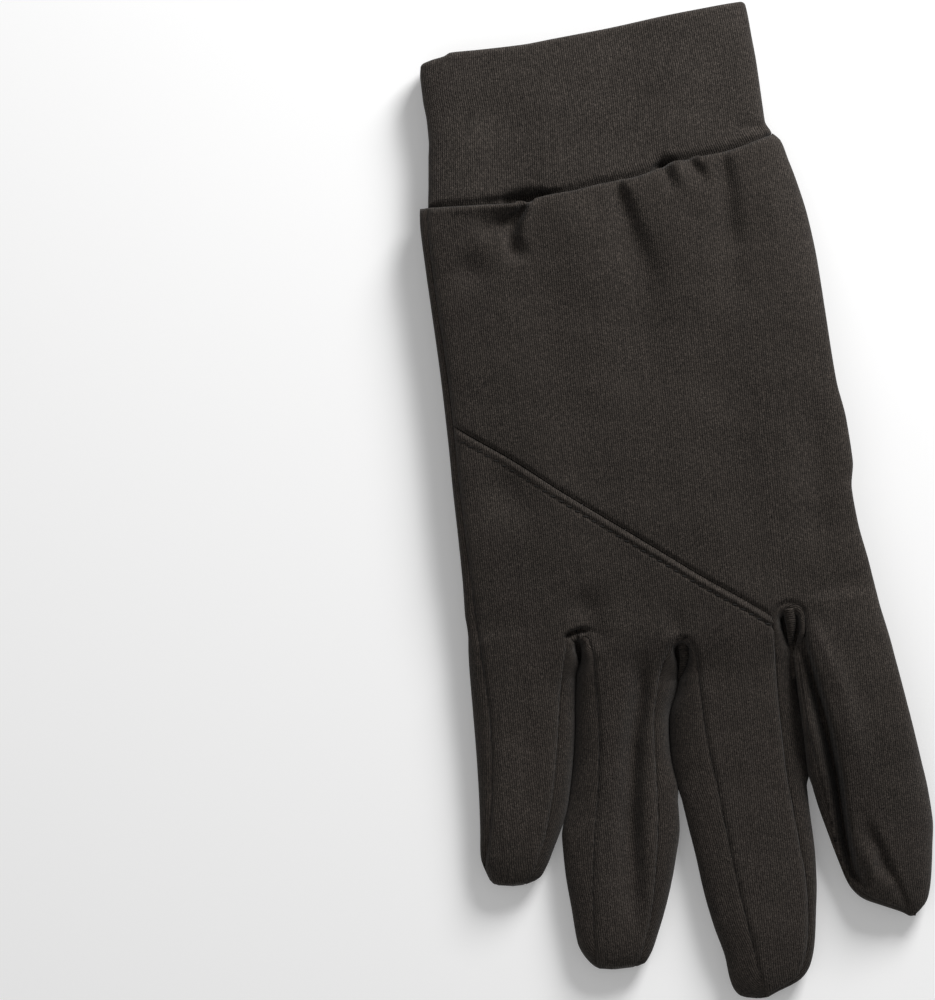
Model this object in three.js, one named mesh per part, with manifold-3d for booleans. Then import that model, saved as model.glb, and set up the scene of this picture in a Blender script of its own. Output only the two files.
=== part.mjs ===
// A stretch-knit glove for the right hand. It lies on its palm, fingers together, and the thumb
// is folded flat under the palm. Millimetres: +Z is up through the back of the hand, +Y runs from
// the fingertips to the cuff, and +X is the index finger's side. The origin is under the middle
// of the glove, at the level that it lies on.

import * as THREE from 'three';
import { LoftGeometry } from 'three/addons/geometries/LoftGeometry.js';
import { mergeVertices } from 'three/addons/utils/BufferGeometryUtils.js';
import Module from 'manifold-3d';

const wasm = await Module();
wasm.setup();

// Cloth
const wall = 1.2; // one layer of fleece-backed knit
const cuffWall = 2.4; // the cuff is a band folded double
const gap = 0.3; // clearance between neighbouring pieces at a seam
const beyond = 4; // how far a cutting solid passes the cloth that it cuts
const clearHeight = 24; // a level well above the glove
const clear = { left: -80, right: 80, fingers: -140, cuff: 140 }; // plan limits well outside the glove

// Roundness of a cross section: a larger crown is a flatter back with tighter edges, and flat is
// the share of the width that lies flat on the ground. Fingers that touch keep a slit to either side.
const handShape = { crown: 3.4, flat: 0.8, topSteps: 18, bottomSteps: 10, dented: true };
const fingerShape = { crown: 2.4, flat: 0.45, topSteps: 9, bottomSteps: 6, slit: 0.2, dented: true };
const cuffShape = { crown: 4.2, flat: 0.85, topSteps: 16, bottomSteps: 10 };
const thumbShape = { crown: 2.8, flat: 0.6, topSteps: 8, bottomSteps: 6 };
const recessShape = { crown: 16, flat: 0.9, topSteps: 8, bottomSteps: 2 };

function table(columns, rows) {
  return rows.map((row) => Object.fromEntries(columns.map((name, i) => [name, row[i]])));
}

// Each row is one cross section. y is the level of its left edge, and its right edge is higher by
// skew. The back is overLeft and overRight high.
const handRows = table(
  ['y', 'left', 'sideSeam', 'right', 'skew', 'under', 'overLeft', 'overRight'],
  [
    [80.0, -46.0, -45.0, 34.2, 6.0, 0.6, 10.8, 11.2],
    [75.8, -47.6, -46.2, 35.6, 6.0, 0.0, 11.8, 12.4],
    [70.0, -48.4, -47.0, 38.2, 4.5, 0.0, 12.6, 13.4],
    [60.0, -48.3, -46.9, 40.6, 2.6, 0.0, 12.8, 14.2],
    [50.0, -48.1, -46.7, 41.3, 1.0, 0.0, 12.8, 14.9],
    [36.0, -47.9, -46.5, 41.5, 0.0, 0.0, 12.8, 15.1],
    [22.0, -48.0, -46.6, 42.5, 0.0, 0.0, 12.8, 15.1],
    [10.0, -48.3, -46.8, 43.5, 0.0, 0.0, 12.7, 15.1],
    [0.0, -48.3, -46.8, 42.5, 0.0, 0.0, 12.4, 15.1],
    [-10.0, -48.6, -46.8, 43.2, 0.0, 0.0, 11.4, 14.9],
    [-20.0, -49.1, -46.7, 44.7, 0.0, 0.0, 10.4, 14.6],
    [-28.0, -49.3, -46.6, 45.6, 0.0, 0.0, 9.7, 14.2],
  ],
);

// The cuff's rows run from its folded rim to just past its seam with the hand.
const cuffRows = table(
  ['y', 'left', 'right', 'skew', 'under', 'over'],
  [
    [109.0, -43.1, 31.6, 4.8, 1.0, 9.6],
    [107.0, -43.9, 32.4, 5.0, 0.0, 10.6],
    [100.0, -44.1, 33.0, 6.0, 0.0, 10.6],
    [90.0, -44.2, 33.1, 6.6, 0.0, 10.6],
    [80.0, -45.4, 33.3, 7.0, 0.0, 10.6],
    [72.0, -46.2, 35.0, 7.0, 0.0, 10.6],
  ],
);

// Seam between the cuff and the hand
const cuffSeam = [
  [-60.0, 75.8],
  [-30.0, 75.8],
  [-17.6, 75.3],
  [-5.9, 76.4],
  [10.0, 79.0],
  [20.2, 80.0],
  [34.3, 83.1],
  [60.0, 88.0],
];

// Fingers: each row is one cross section. The two seams are where the back of the finger meets
// the strips between the fingers. The little finger's left seam is the glove's side seam, and the
// index finger has no seam on its right.
const fingerColumns = ['y', 'left', 'leftSeam', 'rightSeam', 'right', 'under', 'over'];

const littleRows = table(fingerColumns, [
  [-18.0, -48.0, -46.7, -26.8, -23.5, 0.5, 10.2],
  [-27.0, -49.3, -46.6, -26.8, -25.2, 0.0, 9.8],
  [-32.0, -49.6, -46.5, -27.9, -25.2, 0.0, 9.4],
  [-40.0, -49.9, -46.3, -29.6, -26.0, 0.0, 9.0],
  [-50.0, -50.3, -46.9, -31.4, -27.5, 0.0, 8.8],
  [-60.0, -50.8, -48.1, -33.5, -29.6, 0.0, 8.6],
  [-68.0, -51.5, -49.7, -35.8, -32.0, 0.0, 8.4],
  [-74.0, -52.1, -51.3, -37.9, -35.0, 0.0, 8.0],
  [-78.0, -51.2, -52.6, -39.5, -37.4, 0.2, 7.0],
  [-80.4, -49.8, -53.3, -40.8, -39.2, 0.8, 5.8],
  [-81.4, -46.5, -53.6, -42.0, -41.5, 1.8, 4.6],
]);

const ringRows = table(fingerColumns, [
  [-18.0, -24.5, -21.0, -2.0, 0.8, 0.5, 10.8],
  [-27.0, -24.3, -21.4, -3.0, 0.6, 0.0, 10.6],
  [-31.0, -23.6, -21.2, -3.4, -0.2, 0.0, 10.2],
  [-35.0, -25.2, -21.4, -5.0, -2.6, 0.0, 9.6],
  [-40.0, -25.8, -21.5, -7.0, -2.3, 0.0, 9.2],
  [-48.0, -27.0, -21.9, -8.8, -5.2, 0.0, 8.9],
  [-56.0, -28.6, -22.8, -9.4, -6.0, 0.0, 8.7],
  [-64.0, -30.6, -24.0, -10.0, -5.5, 0.0, 8.6],
  [-72.0, -33.0, -25.7, -10.8, -5.9, 0.0, 8.6],
  [-80.0, -33.3, -27.0, -12.2, -7.6, 0.0, 8.6],
  [-88.0, -32.9, -28.0, -13.9, -10.3, 0.0, 8.4],
  [-96.0, -32.4, -28.9, -16.0, -13.5, 0.0, 7.6],
  [-101.0, -30.5, -29.6, -17.6, -15.9, 0.4, 6.4],
  [-103.3, -27.0, -30.2, -18.6, -18.2, 1.8, 4.6],
]);

const middleRows = table(fingerColumns, [
  [-18.0, -0.8, 1.8, 20.6, 22.8, 0.5, 11.4],
  [-27.0, -0.4, 1.8, 20.8, 22.9, 0.0, 11.2],
  [-31.0, -0.2, 1.9, 20.8, 23.5, 0.0, 10.8],
  [-35.0, 0.9, 2.4, 20.6, 24.0, 0.0, 10.2],
  [-40.0, -1.4, 2.3, 20.4, 24.0, 0.0, 9.8],
  [-48.0, -4.6, 2.4, 20.2, 24.2, 0.0, 9.2],
  [-56.0, -5.5, 2.8, 20.0, 24.4, 0.0, 9.0],
  [-64.0, -4.9, 3.7, 20.1, 24.4, 0.0, 8.8],
  [-72.0, -4.0, 4.3, 20.6, 24.3, 0.0, 8.8],
  [-80.0, -3.0, 4.9, 21.1, 24.3, 0.0, 8.8],
  [-88.0, -2.2, 5.7, 21.6, 23.9, 0.0, 8.8],
  [-96.0, -0.9, 6.7, 21.2, 22.9, 0.0, 8.6],
  [-104.0, 0.9, 7.6, 19.8, 21.5, 0.0, 7.8],
  [-110.0, 1.6, 8.3, 17.2, 19.0, 0.4, 6.6],
  [-113.0, 3.4, 8.9, 13.6, 14.2, 1.4, 5.0],
  [-114.0, 6.5, 9.2, 11.0, 11.0, 2.2, 4.2],
]);

// The index finger starts on top of the thumb's tip and comes down to the ground past it.
const indexRows = table(fingerColumns, [
  [-18.0, 26.8, 28.2, 43.8, 43.8, 7.5, 14.2],
  [-27.0, 26.6, 28.0, 45.4, 45.4, 7.3, 14.4],
  [-31.0, 26.2, 27.6, 46.2, 46.2, 7.3, 14.6],
  [-35.0, 25.0, 26.5, 47.0, 47.0, 7.3, 14.7],
  [-40.0, 24.8, 26.2, 47.6, 47.6, 7.3, 14.7],
  [-48.0, 24.9, 26.2, 48.8, 48.8, 7.3, 14.4],
  [-53.0, 25.0, 26.3, 49.5, 49.5, 7.3, 13.6],
  [-58.0, 25.1, 26.7, 50.2, 50.2, 4.2, 11.4],
  [-64.0, 25.4, 27.5, 51.0, 51.0, 0.8, 9.6],
  [-72.0, 26.4, 29.0, 51.9, 51.9, 0.0, 8.8],
  [-80.0, 28.3, 29.9, 51.8, 51.8, 0.0, 8.6],
  [-87.0, 30.3, 31.2, 50.8, 50.8, 0.0, 8.2],
  [-93.0, 32.8, 32.2, 50.0, 50.0, 0.2, 7.2],
  [-97.0, 40.0, 37.0, 48.3, 48.3, 1.0, 5.8],
  [-99.4, 43.9, 41.0, 45.8, 45.8, 2.0, 4.6],
]);

// The thumb lies flat under the palm, and its tip under the root of the index finger.
const thumbRows = table(
  ['y', 'left', 'right', 'under', 'over'],
  [
    [34.0, 29.0, 36.0, 1.8, 5.0],
    [31.0, 24.5, 40.0, 0.4, 6.5],
    [22.0, 20.5, 41.8, 0.0, 6.9],
    [8.0, 19.5, 42.0, 0.0, 6.9],
    [-8.0, 20.5, 41.6, 0.0, 6.9],
    [-20.0, 24.0, 42.0, 0.0, 6.9],
    [-27.0, 26.6, 42.4, 0.0, 6.9],
    [-36.0, 27.2, 42.0, 0.0, 6.9],
    [-44.0, 28.2, 41.0, 0.0, 6.9],
    [-49.0, 30.0, 39.0, 0.4, 6.4],
    [-51.5, 32.6, 36.4, 1.8, 4.8],
  ],
);

// The palm is lifted over the thumb: this is the space that it leaves free above the ground.
const recessRows = table(
  ['y', 'left', 'over'],
  [
    [54.0, 32.0, 0.5],
    [46.0, 23.0, 4.6],
    [37.0, 18.5, 7.2],
    [20.0, 16.5, 7.2],
    [0.0, 16.5, 7.2],
    [-12.0, 18.0, 7.2],
    [-21.0, 20.5, 7.2],
    [-26.0, 24.4, 7.2],
    [-53.0, 24.8, 7.2],
  ],
);

// Dents in the back: each row is one valley along a line, depth deep and width to either side.
// A negative depth is a ridge.
const dents = table(
  ['fromX', 'fromY', 'toX', 'toY', 'width', 'depth'],
  [
    [-23.3, 74.0, -28.2, 64.4, 2.6, 2.6], // pleat below the cuff
    [-29.9, 69.2, -26.0, 74.0, 2.4, 1.4],
    [-39.0, 60.0, -36.0, 55.0, 6.0, 0.7],
    [-2.1, 75.0, 1.6, 60.7, 4.2, 1.7], // soft folds that fan out from the gathered cuff seam
    [1.6, 60.7, 1.0, 44.0, 4.2, 1.0],
    [15.5, 79.0, 18.2, 73.0, 2.2, 1.3],
    [23.8, 75.0, 22.3, 55.0, 4.0, 1.2],
    [35.1, 12.0, 32.4, -15.4, 4.0, 0.9], // edge of the thumb below
    [-20.2, -19.4, -18.5, -24.2, 5.0, 0.9], // above the web of the little finger
    [-10.4, -39.3, -14.7, -52.0, 3.0, 1.0],
    [-14.7, -52.0, -17.5, -74.0, 3.0, 1.2],
    [27.6, -36.0, 30.9, -57.0, 2.2, 1.8], // deep fold beside the middle finger
    [30.9, -57.0, 31.2, -86.0, 2.2, 2.0],
    [27.8, -28.5, 35.0, -50.0, 3.4, -0.6],
  ],
);

// Seam that crosses the back from the side seam to the web of the index finger
const diagonalSeam = [
  [-60.0, 36.0],
  [-47.5, 26.0],
  [-35.3, 16.9],
  [-13.6, -0.5],
  [6.7, -16.4],
  [21.6, -27.2],
  [24.8, -30.0],
];

// Each strip between two fingers runs round the web: it is as wide there as from left to right,
// and top is its highest point.
const webs = {
  littleRing: { left: -26.9, right: -21.3, top: -25.0 },
  ringMiddle: { left: -3.0, right: 2.4, top: -25.2 },
  middleIndex: { left: 20.8, right: 27.8, top: -25.0 },
};
const webShoulder = 1.0; // the strip's corners at the web lie this far below its highest point

// The back and the palm meet along the side of the hand and fingers, at about half height. Where the
// thumb lies below, to the right of thumbSideX, that is higher, and it comes down with the index finger.
const split = { hand: 6.8, fingers: 5.2, overThumb: 9.7, index: 4.6 };
const thumbSideX = 8;
const indexSideX = 24.6;
const webLevelY = -26.2;
const indexDescent = { fromY: -50, toY: -64 };

// Hole through which the hollow of the palm opens into the thumb
const thumbHole = { x: 31, y: 19, radiusX: 7.5, radiusY: 10, bottom: 4.4, top: 9.2 };

function distanceToLine(x, y, dent) {
  const alongX = dent.toX - dent.fromX;
  const alongY = dent.toY - dent.fromY;
  const length2 = alongX * alongX + alongY * alongY;
  const share = ((x - dent.fromX) * alongX + (y - dent.fromY) * alongY) / length2;
  const nearest = THREE.MathUtils.clamp(share, 0, 1);
  return Math.hypot(x - dent.fromX - nearest * alongX, y - dent.fromY - nearest * alongY);
}

function dentDepth(x, y) {
  let depth = 0;
  for (const dent of dents) {
    depth += dent.depth * Math.exp(-((distanceToLine(x, y, dent) / dent.width) ** 2));
  }
  return depth;
}

// One closed cross section, counterclockwise as seen from the fingertips
function section(row, inset, shape) {
  const { y, skew = 0, under, over, overLeft = over, overRight = over } = row;
  const { crown, flat, topSteps, bottomSteps, slit = 0, dented = false } = shape;
  const left = row.left + inset + slit;
  const right = row.right - inset - slit;
  const points = [];
  for (let i = 0; i < topSteps + bottomSteps; i++) {
    const onTop = i <= topSteps;
    const turn = onTop ? i / topSteps : (i - topSteps) / bottomSteps - 1;
    const across = Math.cos(turn * Math.PI);
    const share = (1 + across) / 2;
    const x = THREE.MathUtils.lerp(left, right, share);
    const level = y + skew * share;
    const top = THREE.MathUtils.lerp(overLeft, overRight, share) - inset;
    const bottom = under + inset;
    const middle = (top + bottom) / 2;
    if (onTop) {
      const height = top - middle - (dented ? dentDepth(x, level) : 0);
      const bulge = Math.max(0, 1 - Math.abs(across) ** crown) ** (1 / crown);
      points.push(new THREE.Vector3(x, level, middle + height * bulge));
    } else {
      const rounding = Math.max(0, Math.abs(across) - flat) / (1 - flat);
      const bulge = Math.sqrt(Math.max(0, 1 - rounding ** 2));
      points.push(new THREE.Vector3(x, level, middle - (middle - bottom) * bulge));
    }
  }
  return points;
}

function solidOf(geometry) {
  const bare = new THREE.BufferGeometry();
  bare.setAttribute('position', geometry.attributes.position);
  bare.setIndex(geometry.index);
  const merged = mergeVertices(bare);
  const vertProperties = new Float32Array(merged.attributes.position.array);
  const triVerts = new Uint32Array(merged.index.array);
  return new wasm.Manifold(new wasm.Mesh({ numProp: 3, vertProperties, triVerts }));
}

function loft(rows, inset, shape) {
  const sections = rows.map((row) => section(row, inset, shape));
  return solidOf(new LoftGeometry(sections, { capStart: true, capEnd: true }));
}

// A prism that stands on a plan outline, from one height to another
function prism(outline, bottom = -beyond, top = clearHeight) {
  const shape = new THREE.Shape(outline.map(([x, y]) => new THREE.Vector2(x, y)));
  const geometry = new THREE.ExtrudeGeometry(shape, { depth: top - bottom, bevelEnabled: false });
  return solidOf(geometry.translate(0, 0, bottom));
}

// A narrow wall along a seam line: what it cuts away is the clearance between the two pieces
function seamCut(line) {
  const side = (sign) =>
    line.map(([x, y], i) => {
      const [beforeX, beforeY] = line[Math.max(0, i - 1)];
      const [afterX, afterY] = line[Math.min(line.length - 1, i + 1)];
      const direction = new THREE.Vector2(afterX - beforeX, afterY - beforeY).normalize();
      return [x - (sign * direction.y * gap) / 2, y + (sign * direction.x * gap) / 2];
    });
  return prism([...side(1), ...side(-1).reverse()]);
}

const rectangle = (x0, y0, x1, y1) => [[x0, y0], [x1, y0], [x1, y1], [x0, y1]];

// What belongs to the back: everything above the split, lifted by lift
function upperPart(lift) {
  const high = split.overThumb + lift;
  const profile = new THREE.Shape([
    new THREE.Vector2(clear.fingers, split.index + lift),
    new THREE.Vector2(indexDescent.toY, split.index + lift),
    new THREE.Vector2(indexDescent.fromY, high),
    new THREE.Vector2(webLevelY, high),
    new THREE.Vector2(webLevelY, clearHeight),
    new THREE.Vector2(clear.fingers, clearHeight),
  ]);
  const width = clear.right - indexSideX;
  const overIndex = new THREE.ExtrudeGeometry(profile, { depth: width, bevelEnabled: false });
  // The profile is drawn in Y and Z, and is pushed out along X.
  overIndex.rotateX(Math.PI / 2).rotateZ(Math.PI / 2).translate(indexSideX, 0, 0);
  return prism(rectangle(clear.left, webLevelY, thumbSideX, clear.cuff), split.hand + lift)
    .add(prism(rectangle(clear.left, clear.fingers, indexSideX, webLevelY), split.fingers + lift))
    .add(prism(rectangle(thumbSideX, webLevelY, clear.right, clear.cuff), high))
    .add(solidOf(overIndex));
}

// The seam line round the strip between two fingers: up one finger, over the web, down the other
function stripLine(leftFinger, web, rightFinger) {
  const down = (rows, seam) => {
    const line = rows.filter((row) => row.y < web.top - beyond).map((row) => [row[seam], row.y]);
    const [tipX, tipY] = line.at(-1);
    return [...line, [tipX, tipY - beyond]];
  };
  const arch = [
    [web.left, web.top - webShoulder],
    [(web.left + web.right) / 2, web.top],
    [web.right, web.top - webShoulder],
  ];
  return [...down(leftFinger, 'rightSeam').reverse(), ...arch, ...down(rightFinger, 'leftSeam')];
}

const sideSeam = [
  [handRows[0].sideSeam, clear.cuff],
  ...handRows.slice(0, -1).map((row) => [row.sideSeam, row.y]),
  ...littleRows.slice(1).map((row) => [row.leftSeam, row.y]),
  [littleRows.at(-1).leftSeam, clear.fingers],
];

// The hand and fingers as one shell, open towards the cuff
function handShell() {
  const lifted = recessRows.map((row) => ({ ...row, right: clear.right, under: -clearHeight }));
  const overPalm = lifted.map((row) => ({ ...row, left: row.left - wall, over: row.over + wall }));
  const mouth = { ...handRows[0], y: handRows[0].y + beyond };
  const crotch = { ...handRows.at(-1), y: handRows.at(-1).y + wall };
  let outside = loft(handRows, 0, handShape);
  let inside = loft([mouth, ...handRows.slice(0, -1), crotch], wall, handShape);
  for (const rows of [littleRows, ringRows, middleRows, indexRows]) {
    outside = outside.add(loft(rows, 0, fingerShape));
    inside = inside.add(loft(rows.slice(0, -1), wall, fingerShape));
  }
  outside = outside.subtract(loft(lifted, 0, recessShape));
  inside = inside.subtract(loft(overPalm, 0, recessShape));
  return outside.subtract(inside).subtract(cuffSide()).subtract(seamCut(cuffSeam));
}

// Cuts the shell along its seams into the pieces that it is sewn from
function sewnPieces() {
  const lines = {
    fourchette_little_ring: stripLine(littleRows, webs.littleRing, ringRows),
    fourchette_ring_middle: stripLine(ringRows, webs.ringMiddle, middleRows),
    fourchette_middle_index: stripLine(middleRows, webs.middleIndex, indexRows),
  };
  const shell = handShell();
  const pieces = {};
  let panels = shell;
  for (const [name, line] of Object.entries(lines)) {
    const strip = prism(line);
    const cut = seamCut(line);
    pieces[name] = shell.intersect(strip).subtract(cut);
    panels = panels.subtract(strip).subtract(cut);
  }
  const rightOfSideSeam = prism([...sideSeam, [clear.right, clear.fingers], [clear.right, clear.cuff]]);
  const sideCut = seamCut(sideSeam);
  const upper = panels.intersect(upperPart(gap)).intersect(rightOfSideSeam).subtract(sideCut);
  const fingerSide = prism([...diagonalSeam, [diagonalSeam.at(-1)[0], clear.fingers],
    [clear.left, clear.fingers], [clear.left, diagonalSeam[0][1]]]);
  const diagonalCut = seamCut(diagonalSeam);
  pieces.finger_panel = upper.intersect(fingerSide).subtract(diagonalCut);
  pieces.back_panel = upper.subtract(fingerSide).subtract(diagonalCut);
  const backAndSeam = upperPart(0).intersect(rightOfSideSeam.add(sideCut));
  pieces.palm_panel = panels.subtract(backAndSeam).subtract(holeToThumb());
  return pieces;
}

function holeToThumb() {
  const { x, y, radiusX, radiusY, bottom, top } = thumbHole;
  const oval = new THREE.Shape().absellipse(x, y, radiusX, radiusY, 0, 2 * Math.PI);
  return prism(oval.getPoints(6).slice(0, -1).map((point) => [point.x, point.y]), bottom, top);
}

function thumb() {
  const hollow = loft(thumbRows.slice(1, -1), wall, thumbShape);
  return loft(thumbRows, 0, thumbShape).subtract(hollow).subtract(holeToThumb());
}

// Everything on the cuff's side of the seam between the cuff and the hand
function cuffSide() {
  return prism([...cuffSeam, [clear.right, clear.cuff], [clear.left, clear.cuff]]);
}

function cuff() {
  const rim = { ...cuffRows[1], y: cuffRows[0].y + beyond };
  const seam = { ...cuffRows.at(-1), y: cuffRows.at(-1).y - beyond };
  const hollow = loft([rim, ...cuffRows.slice(1, -1), seam], cuffWall, cuffShape);
  return loft(cuffRows, 0, cuffShape).subtract(hollow).intersect(cuffSide()).subtract(seamCut(cuffSeam));
}

const colours = {
  cuff: '#393532',
  back_panel: '#312d2a',
  finger_panel: '#302c29',
  palm_panel: '#2e2a27',
  fourchette_little_ring: '#2b2724',
  fourchette_ring_middle: '#2b2724',
  fourchette_middle_index: '#2b2724',
  thumb: '#2e2a27',
};

function meshOf(name, solid) {
  const { vertProperties, triVerts } = solid.getMesh();
  const geometry = new THREE.BufferGeometry();
  geometry.setAttribute('position', new THREE.BufferAttribute(vertProperties, 3));
  geometry.setIndex(new THREE.BufferAttribute(triVerts, 1));
  geometry.computeVertexNormals();
  const material = new THREE.MeshStandardMaterial({ color: colours[name], roughness: 0.95, metalness: 0 });
  const mesh = new THREE.Mesh(geometry, material);
  mesh.name = name;
  return mesh;
}

const glove = new THREE.Group();
for (const [name, solid] of Object.entries({ cuff: cuff(), ...sewnPieces(), thumb: thumb() })) {
  glove.add(meshOf(name, solid));
}

export default glove;
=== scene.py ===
import math

import bmesh
import bpy
import numpy as np
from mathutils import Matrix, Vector


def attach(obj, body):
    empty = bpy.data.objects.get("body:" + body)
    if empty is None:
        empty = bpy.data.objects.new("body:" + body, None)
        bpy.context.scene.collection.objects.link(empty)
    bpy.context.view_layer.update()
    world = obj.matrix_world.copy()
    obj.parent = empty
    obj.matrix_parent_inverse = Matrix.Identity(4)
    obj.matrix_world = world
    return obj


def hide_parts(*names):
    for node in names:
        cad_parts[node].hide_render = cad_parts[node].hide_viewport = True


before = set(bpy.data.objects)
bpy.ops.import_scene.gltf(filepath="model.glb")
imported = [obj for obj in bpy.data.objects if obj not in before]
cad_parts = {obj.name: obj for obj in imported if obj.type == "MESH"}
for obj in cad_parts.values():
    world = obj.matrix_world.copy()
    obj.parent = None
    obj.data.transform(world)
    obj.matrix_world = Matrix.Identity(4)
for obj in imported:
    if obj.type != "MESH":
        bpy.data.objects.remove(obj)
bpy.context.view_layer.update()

# Everything is worked out in millimetres, as the part is drawn, and made in metres.
MM = 0.001
BODY = "root"

# Cloth
WALL = 1.2
CUFF_FOLD_RADIUS = 1.2  # the cuff is one layer folded double, so its rim is this round
SEAM_HALF_GAP = 0.03
GRID = 0.46  # spacing of the surface's points on the back
PALM_GRID = 0.62


def table(columns, *rows):
    """The rows' numbers as one array for each named column."""
    return dict(zip(columns.split(), np.array(rows, float).T))


# The hand, one row for each level from the cuff down to the roots of the fingers. The left and the
# right edge have levels of their own, because the cuff is sewn on aslant.
HAND_LEFT = table(
    "y edge seam over",
    (80, -46, -45, 10.8),
    (76.8, -47.2, -46, 11.4),
    (75.8, -47.9, -46.4, 11.9),
    (70, -48.4, -47.1, 12.6),
    (60, -48.3, -47.1, 12.8),
    (50, -48.1, -46.9, 12.8),
    (36, -47.9, -46.6, 12.8),
    (22, -48, -46.8, 12.8),
    (10, -48.3, -47, 12.7),
    (0, -48.4, -47, 12.4),
    (-10, -48.6, -46.9, 11.4),
    (-20, -49.1, -46.8, 10.4),
    (-28, -49.3, -46.7, 9.7),
    (-34, -49.6, -46.5, 8.4),
    (-42, -49.9, -46.3, 5),
    (-50, -50.3, -46.9, 1),
)
HAND_RIGHT = table(
    "y edge over",
    (87, 33.6, 11.2),
    (83.3, 34.6, 12.2),
    (81.5, 36.2, 12.8),
    (76.7, 37.5, 13.4),
    (71.9, 38.7, 13.8),
    (62.4, 40.4, 14.2),
    (52.6, 41.2, 14.9),
    (42.6, 41.4, 15.1),
    (34.5, 41.6, 15.1),
    (25.1, 42, 15.1),
    (15.7, 43.2, 15.1),
    (6.4, 43.5, 15.1),
    (0, 42.5, 15.1),
    (-7.4, 42.9, 14.9),
    (-16.8, 44.3, 14.7),
    (-28, 45.7, 14.2),
    (-34, 46.8, 12.6),
    (-42, 47.8, 7),
    (-50, 49.1, 1),
)
HAND_CROWN = 3.4  # power of the section's curve: 2 is an ellipse, more is flatter on top

CUFF_LEFT = table(
    "y edge",
    (110, -42.4), (108.4, -43.7), (105.2, -44.2), (100.6, -44.2), (95.9, -43.9), (91.3, -44),
    (86.8, -44.6), (81, -45.3), (75.8, -46), (70, -46.4),
)
CUFF_RIGHT = table(
    "y edge",
    (115, 31.6), (112.6, 32.2), (105.1, 32.7), (100.4, 33), (91.1, 33.2), (86.5, 33.3), (83.3, 34.5),
    (78, 35.2),
)
CUFF_OVER = 10.6
CUFF_CROWN = 4.2
CUFF_FLAT = 0.85  # share of the underside that is flat
CUFF_RIM = table(
    "x y",
    (-60, 108.6), (-44, 108.9), (-41, 109.4), (-38.4, 109.8), (-36.6, 110.5), (-29.8, 110.3),
    (-20.5, 110.2), (-12.8, 110.7), (-1.8, 111.4), (10.4, 112.5), (21.6, 113.4), (29.8, 113.9),
    (60, 114.6),
)
# Seam between the cuff and the hand
CUFF_SEAM = table(
    "x y",
    (-60, 75.8), (-47.9, 75.8), (-37.1, 75.3), (-30.8, 74.9), (-26.1, 74.4), (-23.4, 74.3), (-21.2, 74.8),
    (-18.6, 75.2), (-12.2, 75.6), (-5.9, 76.4), (2, 77), (8.5, 78.5), (11.5, 79.4), (20.2, 79.9),
    (25.9, 80.7), (34.3, 83.1), (60, 90),
)

# Fingers, one row for each cross section. The seams are where the back of the finger meets the
# strips between the fingers. The last row of each closes the tip.
FINGER = "y left left_seam right_seam right under over"
LITTLE = table(
    FINGER,
    (-18, -48, -46.8, -26.8, -23.5, 0.5, 10.2),
    (-27, -49.3, -46.7, -26.8, -25.2, 0, 9.8),
    (-32, -49.6, -46.5, -27.9, -25, 0, 9.7),
    (-40, -49.9, -46.3, -29.6, -26.1, 0, 9.2),
    (-50, -50.3, -46.9, -31.4, -27.6, 0, 8.8),
    (-60, -50.9, -48.1, -33.5, -29.8, 0, 8.6),
    (-68, -51.6, -49.7, -35.8, -32.2, 0, 8.4),
    (-74, -52.2, -51.3, -37.9, -35.2, 0, 8),
    (-78, -51.3, -52.6, -39.5, -37.4, 0.2, 7),
    (-80.4, -50.2, -53.3, -40.8, -39.3, 0.8, 5.8),
    (-81.3, -47.6, -53.6, -42, -41.6, 1.8, 4.8),
    (-81.6, -45.6, -53.8, -42.9, -43, 3.2, 3.2),
)
RING = table(
    FINGER,
    (-18, -24.5, -21, -2, 0.8, 0.5, 10.8),
    (-27, -24.3, -21.4, -3, 0, 0, 11),
    (-31, -23.5, -21, -3.4, -1.6, 0, 10.7),
    (-35, -25.3, -21.4, -5.3, -2.7, 0, 10.3),
    (-40, -26, -21.5, -7, -2.9, 0, 9.8),
    (-48, -27.1, -21.9, -8.8, -5.6, 0, 9.2),
    (-56, -28.7, -22.8, -9.4, -6.1, 0, 8.7),
    (-64, -30.7, -24, -10, -5.5, 0, 8.6),
    (-72, -33.1, -25.7, -10.8, -5.8, 0, 8.6),
    (-80, -33.3, -27, -12.2, -7.7, 0, 8.6),
    (-88, -32.9, -28, -13.9, -10.3, 0, 8.4),
    (-96, -32.5, -28.9, -16, -13.6, 0, 7.6),
    (-101, -30.3, -29.3, -17.6, -16.1, 0.4, 6.4),
    (-103, -27.8, -29.6, -18.6, -17.9, 1.8, 4.8),
    (-103.5, -24.5, -29.8, -19.5, -20, 3.2, 3.2),
)
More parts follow.
